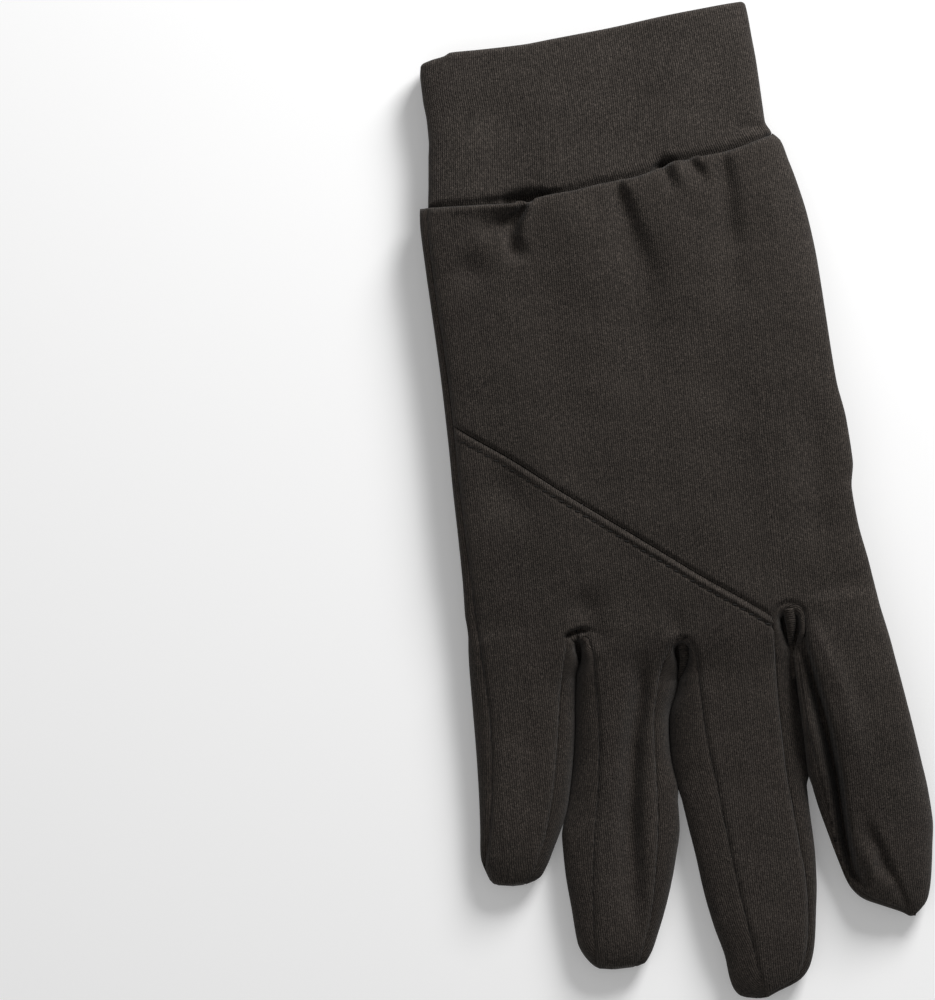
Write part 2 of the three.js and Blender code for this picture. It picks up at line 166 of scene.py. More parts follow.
MIDDLE = table(
    FINGER,
    (-18, -0.8, 1.8, 20.6, 22.8, 0.5, 11.4),
    (-27, 0.9, 1.8, 20.8, 22.9, 0, 12),
    (-31, 0.9, 1.9, 20.8, 23.5, 0, 11.7),
    (-35, 0.4, 2.4, 20.6, 24, 0, 11.3),
    (-40, -1.8, 2.3, 20.4, 24.2, 0, 10.7),
    (-48, -5.1, 2.4, 20.2, 24.4, 0, 9.9),
    (-56, -5.7, 2.8, 20, 24.7, 0, 9.3),
    (-64, -4.9, 3.7, 20.1, 24.4, 0, 8.8),
    (-72, -4, 4.3, 20.6, 24.3, 0, 8.8),
    (-80, -3, 4.9, 21.1, 24.4, 0, 8.8),
    (-88, -2.2, 5.7, 21.6, 24, 0, 8.8),
    (-96, -0.9, 6.7, 21.2, 22.9, 0, 8.6),
    (-104, 0.9, 7.6, 19.9, 21.5, 0, 7.8),
    (-108.5, 1.3, 8.1, 18.6, 19.8, 0.3, 7),
    (-111, 1.9, 8.4, 16.9, 17.4, 0.6, 6.2),
    (-113.2, 3.6, 8.9, 12.4, 11.8, 1.4, 5),
    (-114.2, 7.4, 9.2, 10.6, 9.4, 3.2, 3.2),
)
# The index finger starts on top of the thumb's tip and comes down to the ground past it.
INDEX = table(
    FINGER,
    (-18, 26.8, 28.2, 43.9, 44.6, 7.5, 14.2),
    (-27, 26.6, 28, 45.4, 45.6, 7.3, 14.4),
    (-31, 26.2, 27.6, 46.2, 46.3, 7.3, 14.6),
    (-35, 25.2, 26.5, 47, 47, 7.3, 14.7),
    (-40, 24.9, 26, 47.6, 47.7, 7.3, 14.7),
    (-48, 24.8, 25.6, 48.8, 48.8, 7.3, 14.3),
    (-53, 24.8, 25.4, 49.5, 49.5, 7, 13.9),
    (-58, 24.8, 26.2, 50.2, 50.2, 4.4, 13.3),
    (-64, 25.1, 27.5, 51, 51, 1.6, 12.4),
    (-70.7, 26.1, 28.8, 51.8, 51.8, 0.3, 11.4),
    (-77.8, 27.7, 29.7, 52.1, 52.1, 0, 10.4),
    (-84.3, 29.3, 30.4, 51.3, 51.3, 0, 9.4),
    (-90.8, 31.3, 31.9, 50.3, 50.3, 0.1, 8.2),
    (-94, 33.8, 34.4, 49.6, 49.6, 0.3, 7),
    (-96.5, 38.6, 39, 48.6, 48.6, 1, 6),
    (-98.6, 42.9, 43.3, 46.6, 46.6, 2, 4.8),
    (-99.6, 44.3, 44.5, 45.3, 45.3, 3.2, 3.2),
)
FINGER_CROWN = 2.4
PALM_SEAM_ACROSS = 0.86  # where the strips meet the palm, as a share of the half width

# The thumb lies flat under the palm, and its tip under the root of the index finger.
THUMB = table(
    "y left right under over",
    (52, 32.6, 35.4, 0.7, 1.8),
    (50.6, 29, 38, 0.2, 2.4),
    (47, 26, 39.8, 0, 3.7),
    (42, 23.4, 41, 0, 5.4),
    (35, 21.4, 41.7, 0, 6.5),
    (22, 20, 41.9, 0, 6.9),
    (8, 19.5, 42, 0, 6.9),
    (-8, 20.5, 41.6, 0, 6.9),
    (-20, 24, 42, 0, 6.9),
    (-27, 26.6, 42.4, 0, 6.9),
    (-36, 27.2, 42, 0, 6.9),
    (-44, 28.2, 41, 0, 6.9),
    (-49, 30, 39, 0.4, 6.4),
    (-51, 31.6, 37, 1.6, 5.2),
    (-51.6, 33.2, 35.4, 3.3, 3.3),
)
THUMB_CROWN = 2.8
THUMB_FLAT = 0.6

# The palm is lifted over the thumb: level of its underside, and where the lifted part begins
RECESS = table(
    "y left over",
    (58, 36, 0),
    (54, 32, 0.5),
    (46, 23, 4.6),
    (37, 18.5, 7.2),
    (20, 16.5, 7.2),
    (0, 16.5, 7.2),
    (-12, 18, 7.2),
    (-21, 20.5, 7.2),
    (-26, 24.4, 7.2),
    (-53, 24.8, 7.2),
)
RECESS_STEP = 2.6
RECESS_END, RECESS_RAMP = -60, 7  # it ends at this level, and rises to its full height over this length

# Seam that crosses the back from the side seam to the web of the index finger
DIAGONAL = table(
    "x y",
    (-60, 36), (-47, 25.6), (-44, 23.3), (-35.3, 16.9), (-24.5, 8.1), (-13.6, -0.5), (-2.7, -9),
    (6.7, -16.4), (15.5, -22.8), (21, -27), (26, -30.6),
)
TOPSTITCH_OFFSET = 2.0
STITCH_PITCH = 2.2

# Webs between the fingers: the seam runs round an arch this wide and high, and the strip inside it
# rolls over a band into the gap between the fingers. The gap is open a little down to the hole's
# level, then the fingers touch down to the level where they part. The line that they touch along is
# lifted near the web and pressed down below it, and one strip laps over the other a little there.
WEBS = {
    "little_ring": dict(
        centre=-24.0, top=-25.4, rise=2.4, band=2.0, hole=-32.8, open=0.6,
        part=-70.0, lift=1.6, lap=0.25, pressed=1.4,
    ),
    "ring_middle": dict(
        centre=-0.6, top=-29.3, rise=2.6, band=1.5, hole=-39.4, open=1.5,
        part=-67.0, lift=1.0, lap=0.2, pressed=2.6,
    ),
    "middle_index": dict(
        centre=24.9, top=-24.3, rise=3.2, band=2.6, hole=-35.6, open=1.9,
        part=-67.0, lift=1.0, lap=0.8, pressed=1.0,
    ),
}
# The cloth at the bottom of each web, between the fingers: its middle line, half width and level
TONGUE = "x y half z"
TONGUES = {
    "little_ring": table(
        TONGUE,
        (-24.3, -26.6, 1, 6.6), (-24.6, -29.2, 0.9, 5.4), (-25, -33.6, 0.7, 3.2), (-25.4, -37, 0.6, 2),
    ),
    "ring_middle": table(
        TONGUE,
        (0, -30.4, 1.3, 9.4), (-0.1, -33.4, 1.1, 8.6), (-0.9, -36.6, 0.8, 6.4), (-2.2, -40.6, 0.6, 2),
    ),
    "middle_index": table(
        TONGUE,
        (24.9, -25.6, 1.6, 13), (24.9, -28.6, 1.3, 12.2), (24.6, -32, 0.8, 10.4), (24.3, -36.6, 0.4, 5),
    ),
}

# Folds in the back. Each is a valley that follows a line of points, with its width on either side of
# the line as seen along it, and its depth there. A negative depth is a ridge.
FOLD = "x y width_left width_right depth"


def fold_group(**lines):
    return {name: table(FOLD, *rows) for name, rows in lines.items()}


FOLDS = fold_group(
    pleat_below_cuff=[
        (-23.2, 74.8, 0.7, 0.9, 1.4), (-24.4, 72.8, 0.8, 1.1, 3.2), (-26.2, 70, 0.9, 1.5, 3.2),
        (-27.8, 66.8, 1.4, 1.8, 2.6), (-27.6, 63.4, 2.2, 2.1, 2), (-27, 59.6, 2.6, 2.6, 0),
    ],
    ridge_beside_pleat=[
        (-21.6, 75.4, 0.9, 0.7, -0.5), (-22.9, 73, 1.3, 0.7, -1.3), (-24.7, 70, 1.6, 0.8, -1.4),
        (-26, 66.8, 1.8, 0.9, -0.8), (-26, 63.6, 1.8, 1, 0),
    ],
    pocket_beside_pleat=[
        (-24.8, 72.6, 0.9, 0.8, 0.6), (-28.6, 70.6, 2, 1.5, 3), (-32.6, 69.4, 2.8, 2.3, 1.4),
        (-36.6, 68.2, 3, 3, 0),
    ],
    lip_above_pocket=[
        (-24, 73.6, 0.8, 0.8, -1), (-28, 74, 1.1, 0.9, -1.3), (-36, 74.4, 1.3, 1, -0.8),
        (-44, 74.8, 1.3, 1, -0.3),
    ],
    dent_at_left=[(-42, 64, 4, 4, 0), (-38.6, 60.5, 4.4, 4.4, 1.6), (-36.5, 54, 4.6, 4.6, 0)],
    fan_middle=[
        (-2.4, 76, 1.2, 1.8, 1.4), (-1.5, 72.2, 1.6, 3, 2.4), (-0.2, 64, 2.6, 4.6, 2.5),
        (1, 55, 4, 6, 2), (0.6, 44, 5, 7, 1.2), (-1, 26, 6, 8, 0),
    ],
    fan_small_left=[(8.6, 78.4, 1, 1, 1.6), (9.6, 76, 1, 1.2, 1.2), (9.8, 71, 1.4, 1.6, 0)],
    fan_small_ridge=[
        (11.4, 79.2, 0.9, 0.9, -0.9), (12.2, 76.4, 0.9, 1.1, -0.8), (12.8, 72, 1.2, 1.2, 0),
    ],
    fan_small_right=[(14.4, 79.6, 1, 1.2, 1.8), (16.6, 76.6, 1.2, 1.8, 1.6), (18.4, 71, 1.8, 2.4, 0)],
    fan_right=[
        (22.4, 80, 1.4, 1.8, 1), (22.6, 73.9, 2, 3, 2.1), (21.8, 62, 3, 4.4, 2.2),
        (21.2, 53, 3.8, 5, 1.3), (20, 38, 5, 6, 0),
    ],
    swell_left=[(-13, 75, 5, 5, 0), (-12, 66, 6, 6, -0.9), (-12, 44, 6, 6, 0)],
    swell_middle=[(9, 74, 4, 4, 0), (9.4, 64, 5, 5, -1), (9, 42, 5, 5, 0)],
    swell_right=[(30, 78, 3.6, 3.6, 0), (32, 66, 4.2, 4.2, -0.7), (33, 44, 4.2, 4.2, 0)],
    edge_of_thumb=[
        (35.6, 24, 3.4, 4.4, 0), (35.2, 10, 3.4, 4.4, 1), (34.4, -4, 3.4, 4.4, 1),
        (31.4, -18, 3.4, 4.4, 0),
    ],
    dip_under_diagonal=[(-42, 16, 4.5, 4.5, 0), (-36, 9, 5, 5, 1.4), (-30, 0, 4.5, 4.5, 0)],
    hollow_at_little_web=[
        (-22.4, -14, 4, 4, 0), (-20.6, -20.4, 4, 4, 1.6), (-20, -25.6, 3, 3.6, 1.3),
        (-18, -31, 3, 3, 0),
    ],
    crease_over_little_web=[
        (-27.2, -26.2, 0.4, 0.5, 0.2), (-25.4, -25.2, 0.4, 0.6, 2.4), (-23, -24.6, 0.5, 0.6, 2.6),
        (-20.6, -25.2, 0.6, 0.8, 0.3), (-18.6, -26, 0.6, 0.8, 0),
    ],
    hollow_at_ring_web=[(-3, -20, 4, 3, 0), (-0.8, -26.6, 3, 3, 0.8), (0.6, -31, 1.4, 1.4, 0)],
    ring_valley=[
        (-9.6, -30, 2.4, 2.8, 0), (-11, -41, 2, 2.6, 2.6), (-14, -52, 2, 2.8, 3.4),
        (-16.6, -70, 2, 3, 3.4), (-18.2, -86, 2.2, 3.2, 2), (-19.2, -97, 2.6, 3.4, 0),
    ],
    little_valley=[(-38, -34, 3, 3, 0), (-38.6, -52, 3.4, 3.4, 0.6), (-41.4, -74, 3, 3, 0)],
    middle_ridge=[(9.6, -38, 4, 4, 0), (10.4, -62, 4.6, 4.6, -0.4), (13.6, -96, 4, 4, 0)],
    fold_beside_middle=[
        (27, -31, 0.7, 1.2, 0.3), (27.7, -36.5, 0.7, 1.8, 3), (28.9, -43.5, 0.7, 2.4, 3.8),
        (30.5, -54, 0.7, 2.6, 4.4), (31.6, -66, 0.7, 2.8, 4.8), (32, -80, 0.7, 2.5, 4),
        (32.8, -88, 0.8, 1.9, 2.6), (35, -93, 1.2, 1.6, 0),
    ],
    bottom_of_that_fold=[
        (27.4, -34, 0.5, 0.8, 0.4), (28.6, -42.5, 0.5, 0.9, 1.8), (30.3, -54, 0.5, 1, 2.6),
        (31.4, -66, 0.5, 1.1, 4), (31.8, -80, 0.5, 1.1, 3.4), (32.5, -87, 0.5, 0.9, 1.8),
        (33.8, -91, 0.6, 0.8, 0),
    ],
    ridge_beside_fold=[
        (28, -26.6, 2, 2.6, 0), (30.6, -33.4, 1.8, 3.2, -0.9), (34.4, -45, 2.4, 3.8, -1.1),
        (36, -58, 2.8, 4, -0.9), (36.4, -70, 2.8, 4, 0),
    ],
    dent_at_index_tip=[
        (36.4, -75, 1, 2.6, 0.2), (38.4, -81, 0.9, 2.4, 1.5), (40.6, -87.6, 0.9, 2, 1.5),
        (42.4, -92, 0.7, 1.4, 0.6), (44.2, -98, 0.6, 0.8, 0.5),
    ],
    crest_at_index_tip=[(38, -82.4, 1.2, 1, -0.4), (36.2, -86.6, 1.2, 1.2, -1), (34.8, -91, 1, 1.4, 0)],
    dent_beside_crest=[
        (35.6, -83.4, 1.4, 1.4, 0), (34.2, -88.4, 1, 1.6, 1.1), (33.6, -91.4, 0.9, 0.9, 0),
    ],
)
# How deep and wide the panels' edges are rolled in at their seams
SEAM_GROOVE = dict(depth=0.5, width=0.7)
STRIP_GROOVE = dict(depth=0.15, width=0.6)
CUFF_GROOVE = dict(depth=0.7, width=1.0)
CUFF_TUCK = 1.4  # how far the cuff's seam allowance reaches into the hand
CUFF_FOLDS = fold_group(
    lifted_edge=[
        (-36, 75.6, 1, 1.2, 0), (-30, 75.4, 1, 1.4, 0.6), (-27.2, 75.2, 1.3, 1.6, 2.2),
        (-23, 75.2, 1.5, 1.6, 3.6), (-20, 75.4, 1.2, 1.6, 2.8), (-17.6, 75.4, 0.9, 1.4, 0.6),
        (-14, 75.4, 1, 1.4, 0),
    ],
    small_dip=[(5.6, 77.6, 1.2, 1.2, 0), (9, 78.4, 2, 1.2, 2.4), (12.4, 79.2, 1.4, 1.2, 0)],
    corner_wrinkle=[
        (23.6, 84.4, 1.4, 1.4, 0), (29.6, 85.4, 1.2, 1.2, 0.5), (33.6, 84.4, 1.2, 1.2, 0.7),
    ],
    soft_dip=[(-30, 103, 7, 7, 0), (-27, 95, 8, 8, 0.6), (-24, 84, 7, 7, 0.2)],
)


def smooth(x, y, at):
    """A smooth curve through the points, read at some places, that never overshoots them."""
    order = np.argsort(x)
    x, y = x[order], y[order]
    step = np.diff(x)
    rise = np.diff(y) / step
    slope = np.zeros_like(y)
    turning = rise[:-1] * rise[1:] <= 0
    before, after = 2 * step[1:] + step[:-1], step[1:] + 2 * step[:-1]
    with np.errstate(divide="ignore", invalid="ignore"):
        mean = (before + after) / (before / rise[:-1] + after / rise[1:])
    slope[1:-1] = np.where(turning, 0, mean)
    slope[0], slope[-1] = rise[0], rise[-1]
    at = np.clip(at, x[0], x[-1])
    i = np.clip(np.searchsorted(x, at) - 1, 0, len(step) - 1)
    h = step[i]
    t = (at - x[i]) / h
    return (
        (1 + 2 * t) * (1 - t) ** 2 * y[i]
        + t * (1 - t) ** 2 * h * slope[i]
        + t * t * (3 - 2 * t) * y[i + 1]
        + t * t * (t - 1) * h * slope[i + 1]
    )


def curve(rows, name, at, by="y"):
    """A column of a table as a smooth curve over another column."""
    return smooth(rows[by], rows[name], at)


def along(rows, samples=1500):
    """A finger's columns read off smooth curves from its root to its tip, so that the tip is round."""
    steps = np.hypot(np.diff(rows["y"]), np.hypot(np.diff(rows["left"]), np.diff(rows["right"])))
    place = np.concatenate([[0], np.cumsum(steps)])
    fine = np.linspace(0, place[-1], samples)
    return {name: smooth(place, column, fine) for name, column in rows.items()}


def read(rows, name, y):
    """A column of finely sampled rows at any level."""
    return np.interp(-np.asarray(y, float), -rows["y"], rows[name])


def mix(a, b, share):
    return a + (b - a) * share


def ease(t):
    t = np.clip(t, 0, 1)
    return t * t * (3 - 2 * t)


FINGERS = [along(rows) for rows in (LITTLE, RING, MIDDLE, INDEX)]
little, ring, middle, index = FINGERS


def hand_left(y):
    return curve(HAND_LEFT, "edge", y)


def hand_right(y):
    return curve(HAND_RIGHT, "edge", y)


SIDE_SEAM_CHANGE = -24  # the side seam follows the hand's table above this level, the finger's below


def side_seam(y):
    """The seam along the glove's left edge, down the hand and then the little finger."""
    hand = curve(HAND_LEFT, "seam", y)
    finger = np.maximum(read(little, "left_seam", y), read(little, "left", y) + 0.1)
    return np.where(y > SIDE_SEAM_CHANGE, hand, finger)


def cuff_seam(x):
    return curve(CUFF_SEAM, "y", x, by="x")


def diagonal(x):
    return curve(DIAGONAL, "y", x, by="x")


def recess(x, y):
    """Height of the underside of the palm where it passes over the thumb."""
    step = ease((x - curve(RECESS, "left", y) + RECESS_STEP) / RECESS_STEP)
    return curve(RECESS, "over", y) * step * ease((y - RECESS_END) / RECESS_RAMP)


def dome(across, crown):
    return np.maximum(0, 1 - np.abs(across) ** crown) ** (1 / crown)


def hand_levels(x, y):
    """Across, mid height and top of the hand, at points of the plan."""
    left, right = hand_left(y), hand_right(y)
    share = np.clip((x - left) / (right - left), 0, 1)
    over_left, over_right = curve(HAND_LEFT, "over", y), curve(HAND_RIGHT, "over", y)
    top = mix(over_left, over_right, share)
    mid = mix(over_left / 2, (over_right + recess(right, y)) / 2, share)
    return 2 * share - 1, mid, top


def finger_levels(rows, x, y):
    left, right = read(rows, "left", y), read(rows, "right", y)
    width = np.maximum(right - left, 0.05)
    across = 2 * (x - left) / width - 1
    top, bottom = read(rows, "over", y), read(rows, "under", y)
    return across, (top + bottom) / 2, top


FAR_BELOW = -50.0
UNION = 0.45  # how softly the hand and the fingers run into each other
EMERGE_FROM, EMERGE_TO = -18.0, -25.0  # the fingers' own forms start to show between these levels
FINGER_SUNK = 4  # and lie this deep in the hand above them


def height(x, y):
    """Height of the back over the plan, without folds and seams."""
    across, mid, top = hand_levels(x, y)
    parts = [mid + (top - mid) * dome(across, HAND_CROWN)]
    for rows in FINGERS:
        across, mid, top = finger_levels(rows, x, y)
        inside = (np.abs(across) <= 1) & (y <= rows["y"][0]) & (y >= rows["y"][-1])
        hidden = FINGER_SUNK * ease((y - EMERGE_TO) / (EMERGE_FROM - EMERGE_TO))
        parts.append(np.where(inside, mid + (top - mid) * dome(across, FINGER_CROWN) - hidden, FAR_BELOW))
    highest = np.maximum.reduce(parts)
    total = sum(np.exp((part - highest) / UNION) for part in parts)
    return highest + UNION * np.log(total)


def segment_distance(x, y, x0, y0, x1, y1):
    """Distance to a line between two points, the side of it that a place lies on, and how far along."""
    dx, dy = x1 - x0, y1 - y0
    share = np.clip(((x - x0) * dx + (y - y0) * dy) / (dx * dx + dy * dy), 0, 1)
    off_x, off_y = x - x0 - share * dx, y - y0 - share * dy
    side = (dx * (y - y0) - dy * (x - x0)) / math.hypot(dx, dy)
    return np.hypot(off_x, off_y), side, share


SIDE_BLEND = 1.6  # a fold's left width runs into its right width over this


def fold_depth(fold, x, y):
    """Depth of one fold over the plan: its nearest stretch decides."""
    nearest = np.full(x.shape, 1e3)
    depth = np.zeros_like(x)
    line = list(zip(*fold.values()))
    for (x0, y0, left0, right0, deep0), (x1, y1, left1, right1, deep1) in zip(line[:-1], line[1:]):
        distance, side, share = segment_distance(x, y, x0, y0, x1, y1)
        beside = ease(side / SIDE_BLEND + 0.5)
        width = mix(mix(right0, right1, share), mix(left0, left1, share), beside)
        here = mix(deep0, deep1, ease(share)) * np.exp(-((distance / width) ** 2))
        closer = distance < nearest
        nearest = np.where(closer, distance, nearest)
        depth = np.where(closer, here, depth)
    return depth


FOLD_REACH = 17.0


def folds(x, y, group=FOLDS):
    """Depth of a group of folds over the plan."""
    total = np.zeros_like(x)
    for fold in group.values():
        low = (fold["x"].min() - FOLD_REACH, fold["y"].min() - FOLD_REACH)
        high = (fold["x"].max() + FOLD_REACH, fold["y"].max() + FOLD_REACH)
        near = (x > low[0]) & (x < high[0]) & (y > low[1]) & (y < high[1])
        if near.any():
            total[near] += fold_depth(fold, x[near], y[near])
    return total


# Long soft waves that any lying cloth has: each row is one wave over the plan.
WAVES = table(
    "length angle phase height",
    (31, 14, 0.4, 0.16), (23, -22, 1.9, 0.13), (17, 8, 4.1, 0.09), (12.5, 71, 2.7, 0.06),
    (9, -34, 5.2, 0.04),
)


def waves(x, y):
    total = np.zeros_like(x)
    for length, angle, phase, high in zip(*WAVES.values()):
        turn = math.radians(angle)
        total += high * np.sin(2 * np.pi * (x * math.cos(turn) + y * math.sin(turn)) / length + phase)
    return total


def rounded_in(start, rise, y):
    """How far a line has opened out of the top of its round web, from 0 to 1."""
    below = np.clip((start - y) / rise, 0, 1)
    return np.sqrt(1 - (1 - below) ** 2)


def border(web, rows, side, y):
    """A finger's seam line below its web, rounded off towards the web's highest point."""
    return mix(web["centre"], read(rows, SEAM_OF[side], y), rounded_in(web["top"], web["rise"], y))


WEB_FINGERS = dict(little_ring=(little, ring), ring_middle=(ring, middle), middle_index=(middle, index))
RIGHT, LEFT = 1, -1  # the two sides of a finger
SEAM_OF = {RIGHT: "right_seam", LEFT: "left_seam"}
EDGE_OF = {RIGHT: "right", LEFT: "left"}


def seam_lines():
    """Every seam that shows on the back, as rows of points in the plan."""
    lines = []
    y = np.linspace(80, -76, 160)
    lines.append(np.stack([side_seam(y), y], 1))
    x = np.linspace(-50, 40, 90)
    lines.append(np.stack([x, cuff_seam(x)], 1))
    x = np.linspace(-47, 21, 60)
    lines.append(np.stack([x, diagonal(x)], 1))
    for name, fingers in WEB_FINGERS.items():
        top = WEBS[name]["top"]
        for rows, side in zip(fingers, (RIGHT, LEFT)):
            y = top - (top - rows["y"][-1]) * np.linspace(0, 1, 150) ** 1.7
            lines.append(np.stack([border(WEBS[name], rows, side, y), y], 1))
    return lines


SEAM_LINES = seam_lines()
SEAM_REACH = 4  # further from a seam than this, its distance isn't needed


def seam_distance(x, y):
    nearest = np.full(x.shape, 99.0)
    for line in SEAM_LINES:
        low, high = line.min(0) - SEAM_REACH, line.max(0) + SEAM_REACH
        near = (x > low[0]) & (x < high[0]) & (y > low[1]) & (y < high[1])
        if not near.any():
            continue
        px, py = x[near], y[near]
        best = nearest[near]
        for (x0, y0), (x1, y1) in zip(line[:-1], line[1:]):
            close = np.abs(py - (y0 + y1) / 2) < SEAM_REACH + abs(y1 - y0)
            if close.any():
                distance, _, _ = segment_distance(px[close], py[close], x0, y0, x1, y1)
                best[close] = np.minimum(best[close], distance)
        nearest[near] = best
    return nearest


# Folds and waves fade out towards the glove's edge, by the height over its middle level.
STANDING_FROM, STANDING_OVER = 0.5, 3.0


def back_height(x, y):
    """Height of the finished back: form, folds and soft waves."""
    base = height(x, y)
    _, mid, _ = hand_levels(x, y)
    standing = ease((base - np.minimum(mid, base) + STANDING_FROM) / STANDING_OVER)
    return base - (folds(x, y) - waves(x, y)) * standing


def grid_normals(points):
    """Outward unit normals of a grid of points (rows from the cuff to the tips, columns to the right)."""
    down = np.gradient(points, axis=0)
    right = np.gradient(points, axis=1)
    normal = np.cross(right, -down)
    length = np.linalg.norm(normal, axis=2, keepdims=True)
    return normal / np.maximum(length, 1e-9)


TIP_BREADTH = 0.35  # a tip counts as near over more of its width than of its length


def tip_distance(points):
    """How far a place lies from the nearest finger's tip."""
    x, y = points[..., 0], points[..., 1]
    left = np.full(x.shape, 99.0)
    for rows in FINGERS:
        tip_x, tip_y = (rows["left"][-1] + rows["right"][-1]) / 2, rows["y"][-1]
        left = np.minimum(left, np.hypot(TIP_BREADTH * (x - tip_x), y - tip_y))
    return left


UPRIGHT = 0.5  # where the cloth stands up steeper than this, its seam isn't rolled in
UNROLLED_TIP = 1.6  # nor this near to a finger's tip


def roll_seams(points, distance, groove):
    """Rolls a panel's edge inwards where it is sewn to its neighbour."""
    normal = grid_normals(points)
    facing = ease(np.abs(normal[..., 2]) / UPRIGHT)
    depth = groove["depth"] * np.exp(-((distance / groove["width"]) ** 2)) * facing
    return points - normal * (depth * ease(tip_distance(points) / UNROLLED_TIP))[..., None]


def arc_length(points, axis):
    steps = np.linalg.norm(np.diff(points, axis=axis), axis=2)
    total = np.cumsum(steps, axis=axis)
    return np.concatenate([np.zeros_like(np.take(total, [0], axis)), total], axis)


def row_left(points):
    """How far it still is from each point to the end of its row."""
    return arc_length(points[:, ::-1], 1)[:, ::-1]


def resample(curve, count):
    """The same number of points, evenly spaced, along each row of a grid."""
    place = arc_length(curve, 1)
    rows = []
    for points, length in zip(curve, place):
        want = np.linspace(0, length[-1], count)
        rows.append(np.stack([np.interp(want, length, points[:, k]) for k in range(3)], 1))
    return np.array(rows)


def add_object(name, data):
    made = bpy.data.objects.new(name, data)
    bpy.context.scene.collection.objects.link(made)
    return made


WELD = 0.05
SHORTEST_EDGE = 0.004


def mesh_piece(name, grids, slot, material, wall=WALL, clamp=0.0, replaces=()):
    """One cloth piece from grids of points and their knit coordinates, welded where they meet."""
    mesh = bpy.data.meshes.new(name)
    build = bmesh.new()
    knit = build.loops.layers.uv.new("knit")
    for points, uv in grids:
        height_count, width_count = points.shape[:2]
        flat = (points.reshape(-1, 3) * MM).tolist()
        verts = [build.verts.new(point) for point in flat]
        coords = uv.reshape(-1, 2)
        for i in range(height_count - 1):
            for j in range(width_count - 1):
                a = i * width_count + j
                corners = (a, a + width_count, a + width_count + 1, a + 1)
                face = build.faces.new([verts[k] for k in corners])
                face.smooth = True
                for loop, k in zip(face.loops, corners):
                    loop[knit].uv = coords[k]
    bmesh.ops.remove_doubles(build, verts=build.verts, dist=WELD * MM)
    bmesh.ops.dissolve_degenerate(build, edges=build.edges, dist=SHORTEST_EDGE * MM)
    build.to_mesh(mesh)
    build.free()
    piece = add_object(name, mesh)
    mesh.materials.append(material)
    if wall:
        solid = piece.modifiers.new("wall", "SOLIDIFY")
        solid.thickness = wall * MM
        solid.offset = -1
        solid.thickness_clamp = clamp
    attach(piece, BODY)
    if replaces:
        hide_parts(*replaces)
    return piece


def linear(hex_colour):
    """An sRGB hex colour as linear numbers with alpha."""
    values = [int(hex_colour[i : i + 2], 16) / 255 for i in (1, 3, 5)]
    return [v / 12.92 if v <= 0.04045 else ((v + 0.055) / 1.055) ** 2.4 for v in values] + [1]


def plain_material(name, colour, values):
    """A material of one colour, with values for the shader's other inputs."""
    material = bpy.data.materials.new(name)
    material.use_nodes = True
    shader = material.node_tree.nodes["Principled BSDF"]
    for key, value in {"Base Color": linear(colour), **values}.items():
        shader.inputs[key].default_value = value
    return material


def node(tree, kind, links=None, **settings):
    """Adds a node with its settings, and with values or sockets on its inputs."""
    made = tree.nodes.new(kind)
    for key, value in settings.items():
        setattr(made, key, value)
    for key, value in (links or {}).items():
        if isinstance(value, bpy.types.NodeSocket):
            tree.links.new(value, made.inputs[key])
        else:
            made.inputs[key].default_value = value
    return made


def adder(tree):
    """A function that adds a node to the tree and returns its first output."""
    return lambda kind, links=None, **settings: node(tree, kind, links, **settings).outputs[0]


WALE_PITCH = 0.5  # one column of loops
COURSE_PITCH = 0.44
WALE_WANDER = 0.4
FLECK = (0.2, 0.34)  # the lighter and darker fibres of the heathered yarn, as short streaks
FUZZ = (0.24, 0.44)  # size of the brushed pile's unevenness
# How much each of these adds to the colour's shade, which is 1 for the colour itself. The knit's share is
# painted shade in the hollows between wales and loops, with their crowns lighter.
SHADE = dict(least=0.12, base=0.26, knit=1.1, fuzz=0.8, light=1.0, dark=0.5, patches=0.35)
KNIT_DEPTH = 0.18 * MM
MATT = {
    "Roughness": 0.95,
    "IOR": 1.45,
    "Specular IOR Level": 0.15,
    "Sheen Weight": 0.06,
    "Sheen Roughness": 0.5,
}


